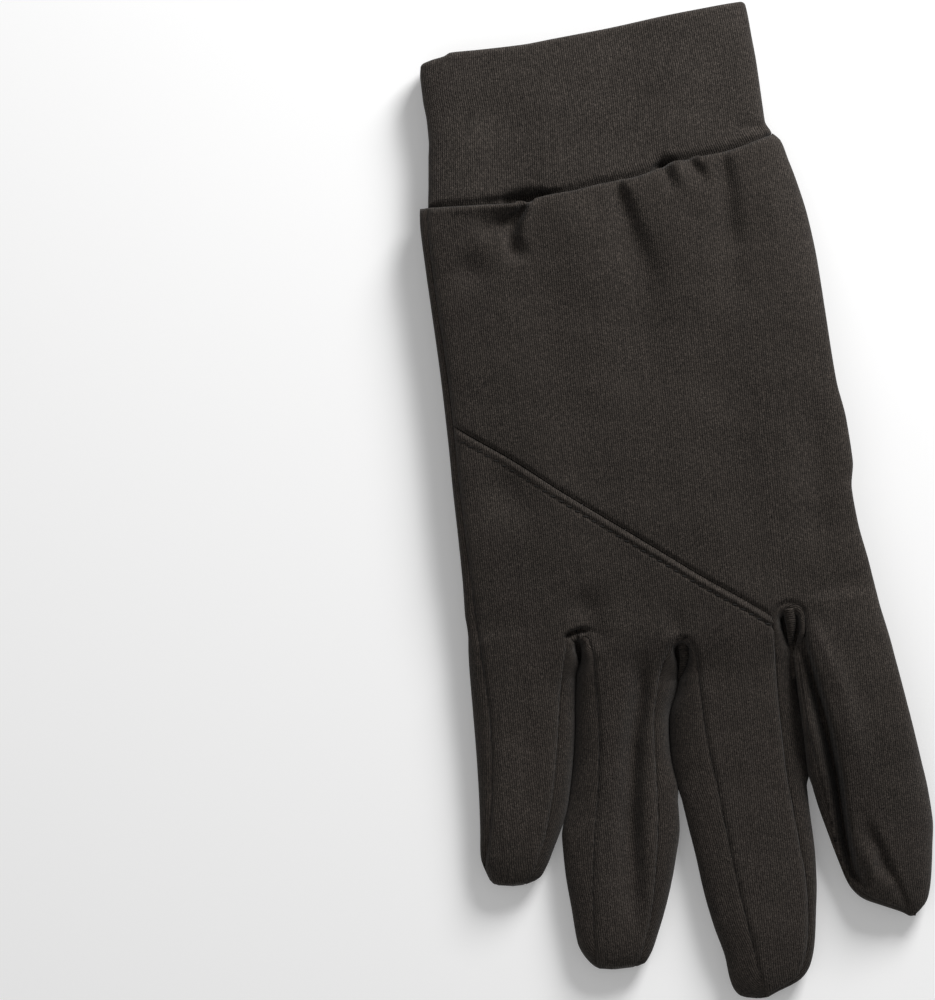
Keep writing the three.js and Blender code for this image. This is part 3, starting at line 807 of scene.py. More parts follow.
def knit_material(name, colour):
    """Brushed stretch knit of polyester and elastane: matt, heathered, with fine columns of loops.

    The eye sees a dark cloth that is speckled with lighter fibres, faintly ribbed, without gloss. The ribs
    are also painted into the colour, as painted shade in the hollows between the wales and loops.
    """
    material = bpy.data.materials.new(name)
    material.use_nodes = True
    tree = material.node_tree
    tree.nodes.clear()
    out = adder(tree)
    uv = out("ShaderNodeUVMap", uv_map="knit")
    across_cloth, along_cloth, _ = node(tree, "ShaderNodeSeparateXYZ", {0: uv}).outputs
    place = node(tree, "ShaderNodeTexCoord").outputs["Object"]

    def maths(operation, *values):
        return out("ShaderNodeMath", dict(enumerate(values)), operation=operation)

    def centred(value, strength):
        return maths("MULTIPLY", maths("SUBTRACT", value, 0.5), strength)

    def noise(vector, scale, detail, roughness=0.5):
        values = {"Vector": vector, "Scale": scale, "Detail": detail, "Roughness": roughness}
        return out("ShaderNodeTexNoise", values)

    def scaled(size, shift=0.0):
        values = {"Vector": uv, "Location": (shift, shift, 0), "Scale": (1 / size[0], 1 / size[1], 1)}
        return out("ShaderNodeMapping", values)

    def fibres(shift, rareness):
        """A random number for each fibre-sized cell of the cloth, rarely near 1."""
        cell = out("ShaderNodeVectorMath", {0: scaled(FLECK, shift)}, operation="FLOOR")
        chance = out("ShaderNodeTexWhiteNoise", {"Vector": cell}, noise_dimensions="3D")
        return maths("POWER", chance, rareness)

    wander = centred(noise(place, 160, 1), WALE_WANDER)
    wale = maths("ADD", maths("DIVIDE", across_cloth, WALE_PITCH), wander)
    course = maths("DIVIDE", along_cloth, COURSE_PITCH)
    across = maths("ABSOLUTE", centred(maths("FRACT", wale), 1.0))
    rib = maths("SUBTRACT", 1.0, maths("MULTIPLY", maths("POWER", across, 2.0), 4.0))
    turn = maths("MULTIPLY", maths("ADD", course, maths("MULTIPLY", across, 1.6)), 2 * math.pi)
    loop = maths("MULTIPLY", maths("ADD", maths("MULTIPLY", maths("SINE", turn), 0.5), 0.5), rib)
    knit_height = maths("ADD", maths("MULTIPLY", rib, 0.65), maths("MULTIPLY", loop, 0.35))
    fuzz = noise(scaled(FUZZ), 1.0, 2.5, 0.65)
    # The knit's relief darkens the colour in its hollows and lightens its crowns: painted shade, beside the
    # same relief used as a bump.
    shade = maths("ADD", SHADE["base"], maths("MULTIPLY", knit_height, SHADE["knit"]))
    shade = maths("ADD", shade, centred(fuzz, SHADE["fuzz"]))
    shade = maths("ADD", shade, maths("MULTIPLY", fibres(0.0, 4.0), SHADE["light"]))
    shade = maths("SUBTRACT", shade, maths("MULTIPLY", fibres(7.3, 3.0), SHADE["dark"]))
    shade = maths("ADD", shade, centred(noise(place, 60, 3), SHADE["patches"]))
    shade = maths("MAXIMUM", shade, SHADE["least"])
    shading = {"Factor": 1.0, 6: linear(colour), 7: shade}  # the inputs 6 and 7 are its two colours
    base = node(tree, "ShaderNodeMix", shading, data_type="RGBA", blend_type="MULTIPLY")
    bump_height = maths("ADD", knit_height, maths("MULTIPLY", fuzz, 0.9))
    bump = out("ShaderNodeBump", {"Strength": 0.7, "Distance": KNIT_DEPTH, "Height": bump_height})
    shader = out("ShaderNodeBsdfPrincipled", {"Base Color": base.outputs[2], "Normal": bump, **MATT})
    node(tree, "ShaderNodeOutputMaterial", {"Surface": shader})
    return material


CUFF_KNIT = knit_material("brushed_stretch_knit_cuff", "#3b3632")
PANEL_KNIT = knit_material("brushed_stretch_knit_back", "#36312d")
PALM_KNIT = knit_material("brushed_stretch_knit_palm", "#322d29")
STRIP_KNIT = knit_material("brushed_stretch_knit_strips", "#332e2a")


BACK_PARTING = -29.8  # the back's panels are welded together down to here
PALM_PARTING = -42.0  # the palm parts into fingers further down than the back does
FULLY_ROUND = 7.0  # how far below that the fingers' undersides are fully rounded


def levels(count, dense=0.3):
    """Shares from 0 to 1 that start with smaller steps, to draw the round top of a web."""
    t = np.linspace(0, 1, count)
    return t * (dense + (1 - dense) * t)


def emerged(y):
    """How far a finger's form has taken over from the hand's, from 0 to 1."""
    return ease((EMERGE_FROM - y) / (EMERGE_FROM - EMERGE_TO))


def right_edge(y):
    """The glove's right outline, down the hand and then the index finger."""
    return mix(hand_right(y), read(index, "right", y), emerged(y))


INSIDE_OUTLINE = 0.04  # the least that a seam on the back lies inside its finger's outline


def kept_inside(x, rows, side, y):
    """A seam's place, but inside the finger's outline."""
    limit = read(rows, EDGE_OF[side], y) - side * INSIDE_OUTLINE
    return side * np.minimum(side * x, side * limit)


def edge_line(web_name, rows, side):
    """A panel's border: the web's centre line above the web, and the finger's seam below it."""
    web = WEBS[web_name]

    def line(y):
        seam_x = border(web, rows, side, y)
        inside = np.where(y > web["top"] - web["rise"], seam_x, kept_inside(seam_x, rows, side, y))
        return inside - side * SEAM_HALF_GAP * ease(web["top"] - y)

    return line


DENSER = 0.75  # 0 would space the rows evenly


def denser_below(rows):
    """Shares from 0 to 1 with smaller steps towards 1."""
    share = np.linspace(0, 1, rows)
    return share * (1 + DENSER - DENSER * share)


def plan_grid(top, bottom, left, right, columns, rows, part=None, below=()):
    """A grid over the plan: rows go from the top line to the bottom line, or on to a part's tip."""
    across = np.linspace(0, 1, columns)
    y_top = np.zeros(columns)
    y_bottom = np.zeros(columns)
    for _ in range(16):
        y_top = top(mix(left(y_top), right(y_top), across))
        y_bottom = np.minimum(bottom(mix(left(y_bottom), right(y_bottom), across)), y_top - 0.4)
    y = mix(y_top, y_bottom, denser_below(rows)[:, None])
    if part is not None:
        y = np.concatenate([y, mix(y_bottom, part, np.asarray(below)[1:, None])])
    return mix(left(y), right(y), across), y


def back_surface(x, y, extra=None):
    """The finished surface over a plan grid, its seams rolled in, and its knit coordinates."""
    base = np.stack([x, y, height(x, y)], 2)
    points = np.stack([x, y, back_height(x, y)], 2)
    if extra is not None:
        points[..., 2] += extra
    points = roll_seams(points, seam_distance(x, y), SEAM_GROOVE)
    length = arc_length(base, 1)
    return points, np.stack([mix(x[:, :1], x[:, -1:], length / length[:, -1:]), y], 2)


def diagonal_distance(x, y):
    """How far below the diagonal seam a place lies, square to the seam."""
    slope = diagonal(x + 0.5) - diagonal(x - 0.5)
    return (diagonal(x) - y) / np.sqrt(1 + slope**2)


BAND_RISE, BAND_SLOPE = 0.22, 0.8
FURROW_DEPTH, FURROW_WIDTH = 0.3, 0.42
BAND_FADE = 2  # it fades over this length at the side seam


def topstitched_band(x, y):
    """Seam allowance under the topstitch: a raised band, and the furrow that the stitches pull."""
    off = diagonal_distance(x, y)
    band = BAND_RISE * ease(off / BAND_SLOPE) * ease((TOPSTITCH_OFFSET - off) / BAND_SLOPE)
    furrow = FURROW_DEPTH * np.exp(-(((off - TOPSTITCH_OFFSET) / FURROW_WIDTH) ** 2))
    ends = ease((x - side_seam(y)) / BAND_FADE)
    return (band - furrow) * ends


ROOT_LEVEL = -22.0  # where the fingers' widths are measured to choose the number of columns
TIP_CLOSED = 0.02  # how near a panel comes to its tip's very end
FINGER_PANEL_ROWS = 120  # from the diagonal to where the fingers part


def make_finger_panel():
    """Back of the little, ring and middle fingers, up to the diagonal seam."""
    top = lambda x: diagonal(x) - SEAM_HALF_GAP
    side = lambda y: side_seam(y) + SEAM_HALF_GAP
    middle_right = edge_line("middle_index", middle, RIGHT)
    end_of_diagonal = float(diagonal(MIDDLE["right_seam"][0]))
    beside_index = lambda y: middle_right(np.minimum(y, end_of_diagonal))
    groups = (
        (side, edge_line("little_ring", little, RIGHT), little["y"][-1]),
        (edge_line("little_ring", ring, LEFT), edge_line("ring_middle", ring, RIGHT), ring["y"][-1]),
        (edge_line("ring_middle", middle, LEFT), beside_index, middle["y"][-1]),
    )
    grids = []
    for left, right, tip in groups:
        columns = round(float(right(ROOT_LEVEL) - left(ROOT_LEVEL)) / GRID)
        below = levels(round((BACK_PARTING - tip) / GRID), 0.6)
        rows = FINGER_PANEL_ROWS
        x, y = plan_grid(top, lambda x: BACK_PARTING, left, right, columns, rows, tip + TIP_CLOSED, below)
        grids.append(back_surface(x, y, topstitched_band(x, y)))
    return mesh_piece("finger_panel_cloth", grids, "panel_knit", PANEL_KNIT, replaces=("finger_panel",))


SEAM_TURN = math.radians(42)  # how far round the right edge the back reaches before it meets the palm
ROUNDING = 0.55  # share of a finger's half width over which its underside rounds up to the edge
ROUNDING_AT_HEEL, ROUNDING_AT_LITTLE, ROUNDING_AT_INDEX = 9.0, 6.6, 5.2
ROUNDING_CHANGE, ROUNDING_RAMP = 10, 34  # from this level down, over this length


def rounding_width(y, side):
    """Over how many millimetres the palm's edge rounds up, from the heel of the hand to the fingers."""
    at_finger = ROUNDING_AT_LITTLE if side < 0 else ROUNDING_AT_INDEX
    return mix(ROUNDING_AT_HEEL, at_finger, ease((ROUNDING_CHANGE - y) / ROUNDING_RAMP))


def underside(y, x):
    """Level of the underside at the right edge: the palm over the thumb, then the index finger."""
    return mix(recess(x, y), read(index, "under", y), emerged(y))


def right_rounding(y):
    return mix(rounding_width(y, RIGHT), ROUNDING * half_width(index, y), emerged(y))


TOP_PART = 0.86  # share of the section that lies on top, before it turns under the edge


def over_right_edge(left):
    """The back's section from a border over the right edge to its seam with the palm."""

    def path(q, y):
        start, edge = left(y), right_edge(y)
        over = np.minimum(q / TOP_PART, 1)
        x = start + (edge - start) * np.sin(over * np.pi / 2)
        z = back_height(x, y)
        turn = np.clip((q - TOP_PART) / (1 - TOP_PART), 0, 1) * SEAM_TURN
        mid = back_height(edge + 0 * x, y)
        low = mid - (mid - underside(y, edge)) * np.sin(turn)
        return x - right_rounding(y) * (1 - np.cos(turn)), np.where(turn > 0, low, z)

    return path


def wrapped_grid(path, y_rule, rows, columns, dense=300):
    """A grid along sections that go round an edge. y_rule gives a row's level over the plan."""
    q = np.linspace(0, 1, dense)[None, :] + 0 * rows[:, None]
    y = y_rule(0 * q, rows[:, None])
    for _ in range(5):
        x, z = path(q, y)
        y = y_rule(x, rows[:, None])
    return resample(np.stack([x, y, z], 2), columns)


BACK_LEFT = -47  # the side seam, roughly, to choose the number of columns
BACK_ROWS, INDEX_COLUMNS = 176, 62
DIAGONAL_END = 20.8  # where the diagonal seam runs into the round seam of the index finger's web


def make_back_panel():
    """Back of the hand above the diagonal seam, and the whole back of the index finger."""
    web = WEBS["middle_index"]
    centre, half = web["centre"], web["centre"] - DIAGONAL_END

    def lower_edge(x):
        inside = np.sqrt(np.maximum(0, 1 - ((centre - x) / half) ** 2))
        arch = np.where(x > centre - half, web["top"] - web["rise"] * (1 - inside), -99)
        return np.maximum(diagonal(x), arch) + SEAM_HALF_GAP

    top = lambda x: cuff_seam(x) - SEAM_HALF_GAP
    left = lambda y: side_seam(y) + SEAM_HALF_GAP
    middle_line = lambda y: centre + 0 * y
    columns = round((centre - BACK_LEFT) / GRID)
    x, y = plan_grid(top, lower_edge, left, middle_line, columns, BACK_ROWS)
    grids = [back_surface(x, y)]
    path = over_right_edge(edge_line("middle_index", index, LEFT))
    last, tip = float(lower_edge(np.array(centre))), index["y"][-1]
    above = wrapped_grid(path, lambda x, t: mix(top(x), last, t), denser_below(BACK_ROWS), INDEX_COLUMNS)
    down = levels(round((last - tip) / GRID))[1:]
    below = wrapped_grid(path, lambda x, t: mix(last, tip + TIP_CLOSED, t) + 0 * x, down, INDEX_COLUMNS)
    points = np.concatenate([above, below])
    plain = points.copy()
    plain[..., 2] = height(points[..., 0], points[..., 1])
    uv = np.stack([points[:, :1, 0] + arc_length(plain, 1), points[..., 1]], 2)
    near = np.minimum(seam_distance(points[..., 0], points[..., 1]), row_left(points))
    grids.append((roll_seams(points, near, SEAM_GROOVE), uv))
    return mesh_piece("back_panel_cloth", grids, "panel_knit", PANEL_KNIT, replaces=("back_panel",))


OVER_PART, FLAT_FROM = 0.12, 0.4  # shares of the section: up to the side seam, and where it gets flat


def round_the_left(rows, to_x):
    """The palm's section from the side seam round the left edge and under the hand or finger."""

    def path(q, y):
        if rows is None:
            edge, rounding = mix(hand_left(y), read(little, "left", y), emerged(y)), rounding_width(y, LEFT)
            bottom = 0 * y
        else:
            edge = read(rows, "left", y)
            rounding = ROUNDING * half_width(rows, y)
            bottom = read(rows, "under", y)
        seam = np.maximum(side_seam(y) - SEAM_HALF_GAP, edge + 0.02)
        over = np.clip(q / OVER_PART, 0, 1)
        x_over = edge + (seam - edge) * (1 - np.sin(over * np.pi / 2))
        z_over = back_height(x_over, y)
        mid = back_height(edge + 0 * q, y)
        turn = np.clip((q - OVER_PART) / (FLAT_FROM - OVER_PART), 0, 1) * np.pi / 2
        x_turn = edge + rounding * (1 - np.cos(turn))
        z_turn = mid - (mid - bottom) * np.sin(turn)
        end = to_x(y)
        flat = np.clip((q - FLAT_FROM) / (1 - FLAT_FROM), 0, 1)
        x_flat = mix(edge + rounding, end, flat)
        x = np.where(q < OVER_PART, x_over, np.where(q < FLAT_FROM, x_turn, x_flat))
        z = np.where(q < OVER_PART, z_over, np.where(q < FLAT_FROM, z_turn, bottom))
        if rows is not None:
            right = read(rows, "right", y)
            z = np.where(q < FLAT_FROM, z, bottom + far_round(rows, x, y, right, mid - bottom))
        return x, z

    return path


def half_width(rows, y):
    return (read(rows, "right", y) - read(rows, "left", y)) / 2


def mid_line(rows, y):
    return (read(rows, "right", y) + read(rows, "left", y)) / 2


def far_round(rows, x, y, edge, rise):
    """Lift of the underside near a finger's edge at its strip."""
    rounding = ROUNDING * half_width(rows, y)
    r = np.clip(1 - np.abs(edge - x) / np.maximum(rounding, 0.01), 0, 1)
    return rise * (1 - np.sqrt(np.maximum(0, 1 - r**2))) * ease((PALM_PARTING - y) / FULLY_ROUND)


# The line keeps to the web's centre over the first length, and has left it over the second.
CENTRE_KEPT, CENTRE_LEFT = 4, 6


def contact_line(web_name):
    """The line down the middle of a web and then between its two fingers."""
    web = WEBS[web_name]
    left_rows, right_rows = WEB_FINGERS[web_name]

    def line(y):
        between = (read(left_rows, "right", y) + read(right_rows, "left", y)) / 2
        return mix(web["centre"], between, ease((web["top"] - y - CENTRE_KEPT) / CENTRE_LEFT))

    return line


PALM_WEB_RISE = 2.4


def palm_seam(rows, side, y):
    """Where a finger's palm side meets the strip on one side."""
    return mid_line(rows, y) + side * PALM_SEAM_ACROSS * half_width(rows, y)


def palm_border(web_name, rows, side):
    """The palm's seam with a strip, rounded off towards the web."""
    centre = contact_line(web_name)

    def line(y):
        x = mix(centre(y), palm_seam(rows, side, y), rounded_in(PALM_PARTING, PALM_WEB_RISE, y))
        return x - side * SEAM_HALF_GAP * ease(PALM_PARTING - y)

    return line


def under_finger(rows, left, right):
    """The palm's section under one finger, between its two strips."""

    def path(q, y):
        x = mix(left(y), right(y), q)
        if rows is None:
            return x, recess(x, y)
        bottom = read(rows, "under", y)
        nearest = np.where(x < mid_line(rows, y), read(rows, "left", y), read(rows, "right", y))
        return x, bottom + far_round(rows, x, y, nearest, (read(rows, "over", y) - bottom) / 2)

    return path


FLAT_PART = 0.7  # share of the section that is flat, before it turns up to the seam


def under_right(rows, left):
    """The palm's section from a border to its seam with the back at the right edge."""

    def path(q, y):
        edge = right_edge(y)
        mid = back_height(edge + 0 * q, y)
        rounding = right_rounding(y)
        flat = np.clip(q / FLAT_PART, 0, 1)
        x_flat = mix(left(y), edge - rounding, flat)
        turn = np.pi / 2 - np.clip((q - FLAT_PART) / (1 - FLAT_PART), 0, 1) * (np.pi / 2 - SEAM_TURN)
        x_turn = edge - rounding * (1 - np.cos(turn))
        x = np.where(q < FLAT_PART, x_flat, x_turn)
        if rows is None:
            low = bottom = recess(x, y)
        else:
            bottom = read(rows, "under", y)
            low = bottom + far_round(rows, x, y, read(rows, "left", y), mid - bottom)
        return x, np.where(q < FLAT_PART, low, mid - (mid - bottom) * np.sin(turn))

    return path


def palm_borders(left_web, rows, right_web):
    return palm_border(left_web, rows, LEFT), palm_border(right_web, rows, RIGHT)


PALM_ROWS = np.linspace(0, 1, 150)
NOT_A_SEAM = 99.0  # added to the distances from a line where two parts of a panel join


def make_palm_panel():
    """The palm with the undersides of all four fingers."""
    first, second, third = WEBS
    lines = [contact_line(name) for name in WEBS]
    top = lambda x: cuff_seam(x) - SEAM_HALF_GAP
    fingers = (
        (little, round_the_left, (None, lines[0]), (little, palm_border(first, little, RIGHT)), 62),
        (ring, under_finger, (None, *lines[:2]), (ring, *palm_borders(first, ring, second)), 36),
        (middle, under_finger, (None, *lines[1:]), (middle, *palm_borders(second, middle, third)), 40),
        (index, under_right, (None, lines[2]), (index, palm_border(third, index, LEFT)), 44),
    )
    grids = []
    for rows, section, in_hand, in_finger, columns in fingers:
        tip = rows["y"][-1]
        to_parting = lambda x, t: mix(top(x), PALM_PARTING, t)
        to_tip = lambda x, t: mix(PALM_PARTING, tip + TIP_CLOSED, t) + 0 * x
        above = wrapped_grid(section(*in_hand), to_parting, PALM_ROWS, columns)
        down = levels(round((PALM_PARTING - tip) / PALM_GRID), 0.4)[1:]
        points = np.concatenate([above, wrapped_grid(section(*in_finger), to_tip, down, columns)])
        from_left, to_right = arc_length(points, 1), row_left(points)
        u = points[:, -1:, 0] - to_right if rows is little else points[:, :1, 0] + from_left
        uv = np.stack([u, points[..., 1]], 2)
        joined = np.where(points[:, :, 1] < PALM_PARTING, 0, NOT_A_SEAM)
        from_left = from_left + (0 if rows is little else joined)
        to_right = to_right + (0 if rows is index else joined)
        near = np.minimum(np.minimum(from_left, to_right), arc_length(points, 0))
        # The section runs from left to right on the underside, so it is turned to face outwards.
        points, uv, near = points[:, ::-1], uv[:, ::-1], near[:, ::-1]
        grids.append((roll_seams(points, near, SEAM_GROOVE), uv))
    return mesh_piece("palm_panel_cloth", grids, "palm_knit", PALM_KNIT, replaces=("palm_panel",))


WEB_EDGE_RISE, WEB_PALM_RISE = 1.3, 2.0  # height of the strip's arch at its outermost line and at the palm
NEAR_WEB = 9.0  # length over which the strip comes down from the web to its place between the fingers
WEB_TURN_POINTS = 11
STRIP_DENSER = 1.15  # more rows near the web, as a power
STRIP_END = 0.1  # how far from a finger's tip its strip stops
STRIP_UNDER, STRIP_SUNK = 0.25, 0.45  # the strip's edge is tucked this far under the back's, and this deep
# At the tip, where the edges run across, it is tucked this much further, over this length and fading
TIP_UNDER, TIP_REACH, TIP_FADE = 1.0, 11.5, 8.0
PRESSED_FADE = 16.0  # the line where two fingers touch lies low from this far above the parting
STRIP_WALL = 0.6  # drawn thinner than the cloth, so that its inner side stays inside at the tight turns
THIN_AT_TIGHT_TURNS = 1.0
STRIP_COLUMNS = 14, 12  # above and below its outermost line
STRIP_ROLL = 0.3  # how much fuller than round the strip is near its web
# It lies this high on the palm's cloth where that isn't parted, up from this far below and fading in
OVER_PALM, OVER_PALM_REACH, OVER_PALM_FADE = WALL + 0.3, 9, 6
TONGUE_ROUND = 0.9  # how much higher the tongue is along its middle than at its edges, against its width
LEVELLING = 14  # rows on either side of a web's middle over which the two fingers' levels even out


def strip_side(web_name, rows, side):
    """One side of a strip as three lines from the web down to the tip, and how far each row is along."""
    web = WEBS[web_name]
    shoulder, tip = web["top"] - web["rise"], rows["y"][-1] + STRIP_END
    share = np.linspace(0, 1, round((shoulder - tip) / GRID))[1:]
    down = shoulder - (shoulder - tip) * share**STRIP_DENSER
    turn = np.linspace(np.pi / 2, 0, WEB_TURN_POINTS)
    level = np.concatenate([shoulder + web["rise"] * np.sin(turn), down])
    rise = np.concatenate([np.sin(turn), np.zeros_like(down)])
    spread = np.concatenate([np.cos(turn), np.ones_like(down)])
    near = ease((level - (shoulder - NEAR_WEB)) / NEAR_WEB)
    middle_line = contact_line(web_name)

    # The seam on the back
    seam_x = kept_inside(read(rows, SEAM_OF[side], level), rows, side, level)
    deeper = TIP_UNDER * ease((TIP_REACH - (level - tip)) / TIP_FADE)
    x = mix(web["centre"], seam_x, spread) - side * (STRIP_UNDER + deeper / 2) * spread
    y = level + STRIP_UNDER * rise + deeper
    back = np.stack([x, y, back_height(x, y) - STRIP_SUNK], 1)

    # The outermost line, which touches the next finger down to where the two part
    drop = web["band"] + WEB_EDGE_RISE - web["rise"]
    y = np.where(rise > 0, shoulder - drop + WEB_EDGE_RISE * rise, level - drop * near)
    y = np.maximum(y, tip)
    hole = np.clip((y - web["hole"]) / (shoulder - web["band"] - web["hole"]), 0, 1) ** 0.8
    touching = ease((y - web["part"]) / 4)
    lap = web["lap"] * (side == RIGHT)
    line_x = middle_line(y) - side * SEAM_HALF_GAP + lap * (1 - hole)
    side_x = mix(read(rows, EDGE_OF[side], y), line_x, touching) - side * web["open"] * hole
    pressed = web["pressed"] * ease((y - web["part"]) / PRESSED_FADE) * (1 - hole)
    mid = (read(rows, "over", y) + read(rows, "under", y)) / 2
    outermost = np.stack([mix(web["centre"], side_x, spread), y, mid + web["lift"] * near - pressed], 1)

    # The seam on the palm
    palm_shoulder = PALM_PARTING - WEB_PALM_RISE
    y = np.where(rise > 0, palm_shoulder + WEB_PALM_RISE * rise, level - (shoulder - palm_shoulder) * near)
    y = np.maximum(y, tip)
    x = mix(middle_line(y), palm_seam(rows, side, y), spread)
    bottom = read(rows, "under", y)
    over_palm = OVER_PALM * ease((y - PALM_PARTING + OVER_PALM_REACH) / OVER_PALM_FADE)
    z = bottom + over_palm + far_round(rows, x, y, read(rows, EDGE_OF[side], y), mid - bottom)
    return back, outermost, np.stack([x, y, z], 1), near, spread


def make_tongue(web_name):
    """The cloth of a strip where it shows at the bottom of a web, its wales running across."""
    rows = TONGUES[web_name]
    y = np.linspace(rows["y"][0], rows["y"][-1], 26)[:, None]
    across = np.linspace(-1, 1, 13)[None, :]
    centre, half, level = (curve(rows, name, y) for name in ("x", "half", "z"))
    x = centre + half * across
    z = level - TONGUE_ROUND * half * across**2
    points = np.stack([x, y + 0 * x, z], 2)
    return points, np.stack([y + 0 * x, x], 2)


def make_strip(name, web_name):
    """A strip between two fingers: down the side of one, round the web and down the other."""
    left_rows, right_rows = WEB_FINGERS[web_name]
    sides = strip_side(web_name, left_rows, RIGHT), strip_side(web_name, right_rows, LEFT)
    half = len(sides[0][0]) - 1
    seam, edge, palm, near, spread = (
        np.concatenate([left_line[::-1], right_line[1:]]) for left_line, right_line in zip(*sides)
    )
    low, high = half - LEVELLING, half + LEVELLING
    for line in (edge, palm):
        line[low : high + 1, 2] = mix(line[low, 2], line[high, 2], ease(np.linspace(0, 1, high - low + 1)))
    over, under = (np.linspace(0, np.pi / 2, count)[None] for count in STRIP_COLUMNS)
    under = under[:, 1:]
    near, spread = near[:, None], spread[:, None]

    def between(first, last, in_plan, z):
        plan = first[:, None, :2] + (last - first)[:, None, :2] * in_plan[..., None]
        return np.concatenate([plan, z[..., None]], 2)

    roll = STRIP_ROLL * near * np.sin(2 * over)
    z = edge[:, None, 2] + (seam - edge)[:, None, 2] * np.cos(over) + roll
    upper = between(seam, edge, np.sin(over) + 0 * near, z)
    # Below the outermost line the cloth slopes from the web's edge down to the palm.
    straight = 2 * under / np.pi
    z = edge[:, None, 2] + (palm - edge)[:, None, 2] * mix(straight, np.sin(under), spread)
    lower = between(edge, palm, mix(straight, 1 - np.cos(under), spread), z)
    points = np.concatenate([upper, lower], 1)[:, ::-1]
    across = arc_length(points, 1)
    uv = np.stack(np.broadcast_arrays(across, arc_length(points, 0)[:, :1]), 2)
    points = roll_seams(points, np.minimum(across, across[:, -1:] - across), STRIP_GROOVE)
    grids = [(points, uv), make_tongue(web_name)]
    wall = STRIP_WALL, THIN_AT_TIGHT_TURNS
    return mesh_piece(f"{name}_cloth", grids, "strip_knit", STRIP_KNIT, *wall, replaces=(name,))


def ring_section(left, right, under, over, crown, flat, turn):
    """A closed section: turn 0 is the right edge, a half turn the left edge over the top."""
    across = np.cos(turn)
    x = left + (right - left) * (1 + across) / 2
    mid = (under + over) / 2
    up = mid + (over - mid) * dome(across, crown)
    r = np.clip((np.abs(across) - flat) / (1 - flat), 0, 1)
    low = mid - (mid - under) * np.sqrt(1 - r**2)
    return x, np.where(np.sin(turn) >= 0, up, low)


def even_turns(count, width, thickness, crown, flat):
    """Turns that space a section's points evenly."""
    dense = np.linspace(0, 2 * np.pi, 2400)
    x, z = ring_section(0, width, 0, thickness, crown, flat, dense)
    length = np.concatenate([[0], np.cumsum(np.hypot(np.diff(x), np.diff(z)))])
    return np.interp(np.linspace(0, length[-1], count), length, dense)


CUFF_POINTS, CUFF_ROWS, RIM_ROWS = 340, 80, 11
CUFF_WIDTH, CUFF_LENGTH = 77, 35.0
TOP_FROM, TOP_OVER = 0.12, 0.3  # where folds start to show on the cuff, as the sine of the turn
GROOVE_BELOW = 0.35  # how much narrower the seam's groove is on the underside


def make_cuff():
    """A band of one layer folded double: up the outside, round the rim and down the inside."""
    turn = even_turns(CUFF_POINTS, CUFF_WIDTH, CUFF_OVER, CUFF_CROWN, CUFF_FLAT)
    on_top = ease((np.sin(turn) - TOP_FROM) / TOP_OVER)

    def outside(share, folded=True):
        y_left = mix(cuff_seam(-46.0), curve(CUFF_RIM, "y", -44.0, by="x"), share)
        y_right = mix(cuff_seam(34.5), curve(CUFF_RIM, "y", 32.0, by="x"), share)
        left, right = curve(CUFF_LEFT, "edge", y_left), curve(CUFF_RIGHT, "edge", y_right)
        x, z = ring_section(left, right, 0.0, CUFF_OVER, CUFF_CROWN, CUFF_FLAT, turn)
        y = mix(cuff_seam(x) + SEAM_HALF_GAP, curve(CUFF_RIM, "y", x, by="x"), share)
        if folded:
            z = z + (waves(x, y) - folds(x, y, CUFF_FOLDS)) * on_top
        return np.stack([x, y, z], 1)

    rim_share = 1 - CUFF_FOLD_RADIUS / CUFF_LENGTH
    points = np.array([outside(share) for share in np.linspace(0, rim_share, CUFF_ROWS)])
    normal = grid_normals(points)
    normal[:, 0] = normal[:, -1] = (normal[:, 1] + normal[:, -2]) / 2
    inward = -normal * np.array([1, 0, 1])
    inward /= np.linalg.norm(inward, axis=2, keepdims=True)
    along_hand = np.array([0.0, 1.0, 0.0])
    fold = [
        points[-1] + CUFF_FOLD_RADIUS * (inward[-1] * (1 - math.cos(a)) + along_hand * math.sin(a))
        for a in np.linspace(0, np.pi, RIM_ROWS)[1:]
    ]
    inside = (points + inward * 2 * CUFF_FOLD_RADIUS)[::-1][1:]
    # The seam allowance goes down inside the hand.
    depths = 2 * CUFF_FOLD_RADIUS, WALL + 0.3
    tuck = [points[0] + inward[0] * deep - along_hand * CUFF_TUCK for deep in depths]
    rolled = roll_seams(points, arc_length(points, 0) / mix(GROOVE_BELOW, 1.0, on_top), CUFF_GROOVE)
    whole = np.concatenate([tuck, rolled, np.array(fold), inside, tuck[:1]])
    round_the_wrist = arc_length(outside(0.5, folded=False)[None], 1)
    uv = np.stack(np.broadcast_arrays(round_the_wrist, arc_length(whole, 0)[:, :1]), 2)
    return mesh_piece("cuff_cloth", [(whole, uv)], "cuff_knit", CUFF_KNIT, wall=0, replaces=("cuff",))


THUMB_POINTS, THUMB_ROWS = 110, 170
THUMB_WIDTH, THUMB_OVER = 22, 6.9


def make_thumb():
    """The folded thumb, with the seam that runs up its outer side."""
    turn = even_turns(THUMB_POINTS, THUMB_WIDTH, THUMB_OVER, THUMB_CROWN, THUMB_FLAT)
    rows = along(THUMB)
    fine, place = (np.linspace(0, 1, count) for count in (len(rows["y"]), THUMB_ROWS))
    y, *edges = (np.interp(place, fine, column)[:, None] for column in rows.values())
    x, z = ring_section(*edges, THUMB_CROWN, THUMB_FLAT, turn)
    points = np.stack([x, y + 0 * x, z], 2)[:, ::-1]
    length = arc_length(points, 1)
    uv = np.stack([length, points[..., 1]], 2)
    points = roll_seams(points, np.minimum(length, length[:, -1:] - length), STRIP_GROOVE)
    return mesh_piece("thumb_cloth", [(points, uv)], "palm_knit", PALM_KNIT, replaces=("thumb",))


make_finger_panel()
make_back_panel()
make_palm_panel()
for web_name in WEBS:
    make_strip(f"fourchette_{web_name}", web_name)
make_cuff()
make_thumb()

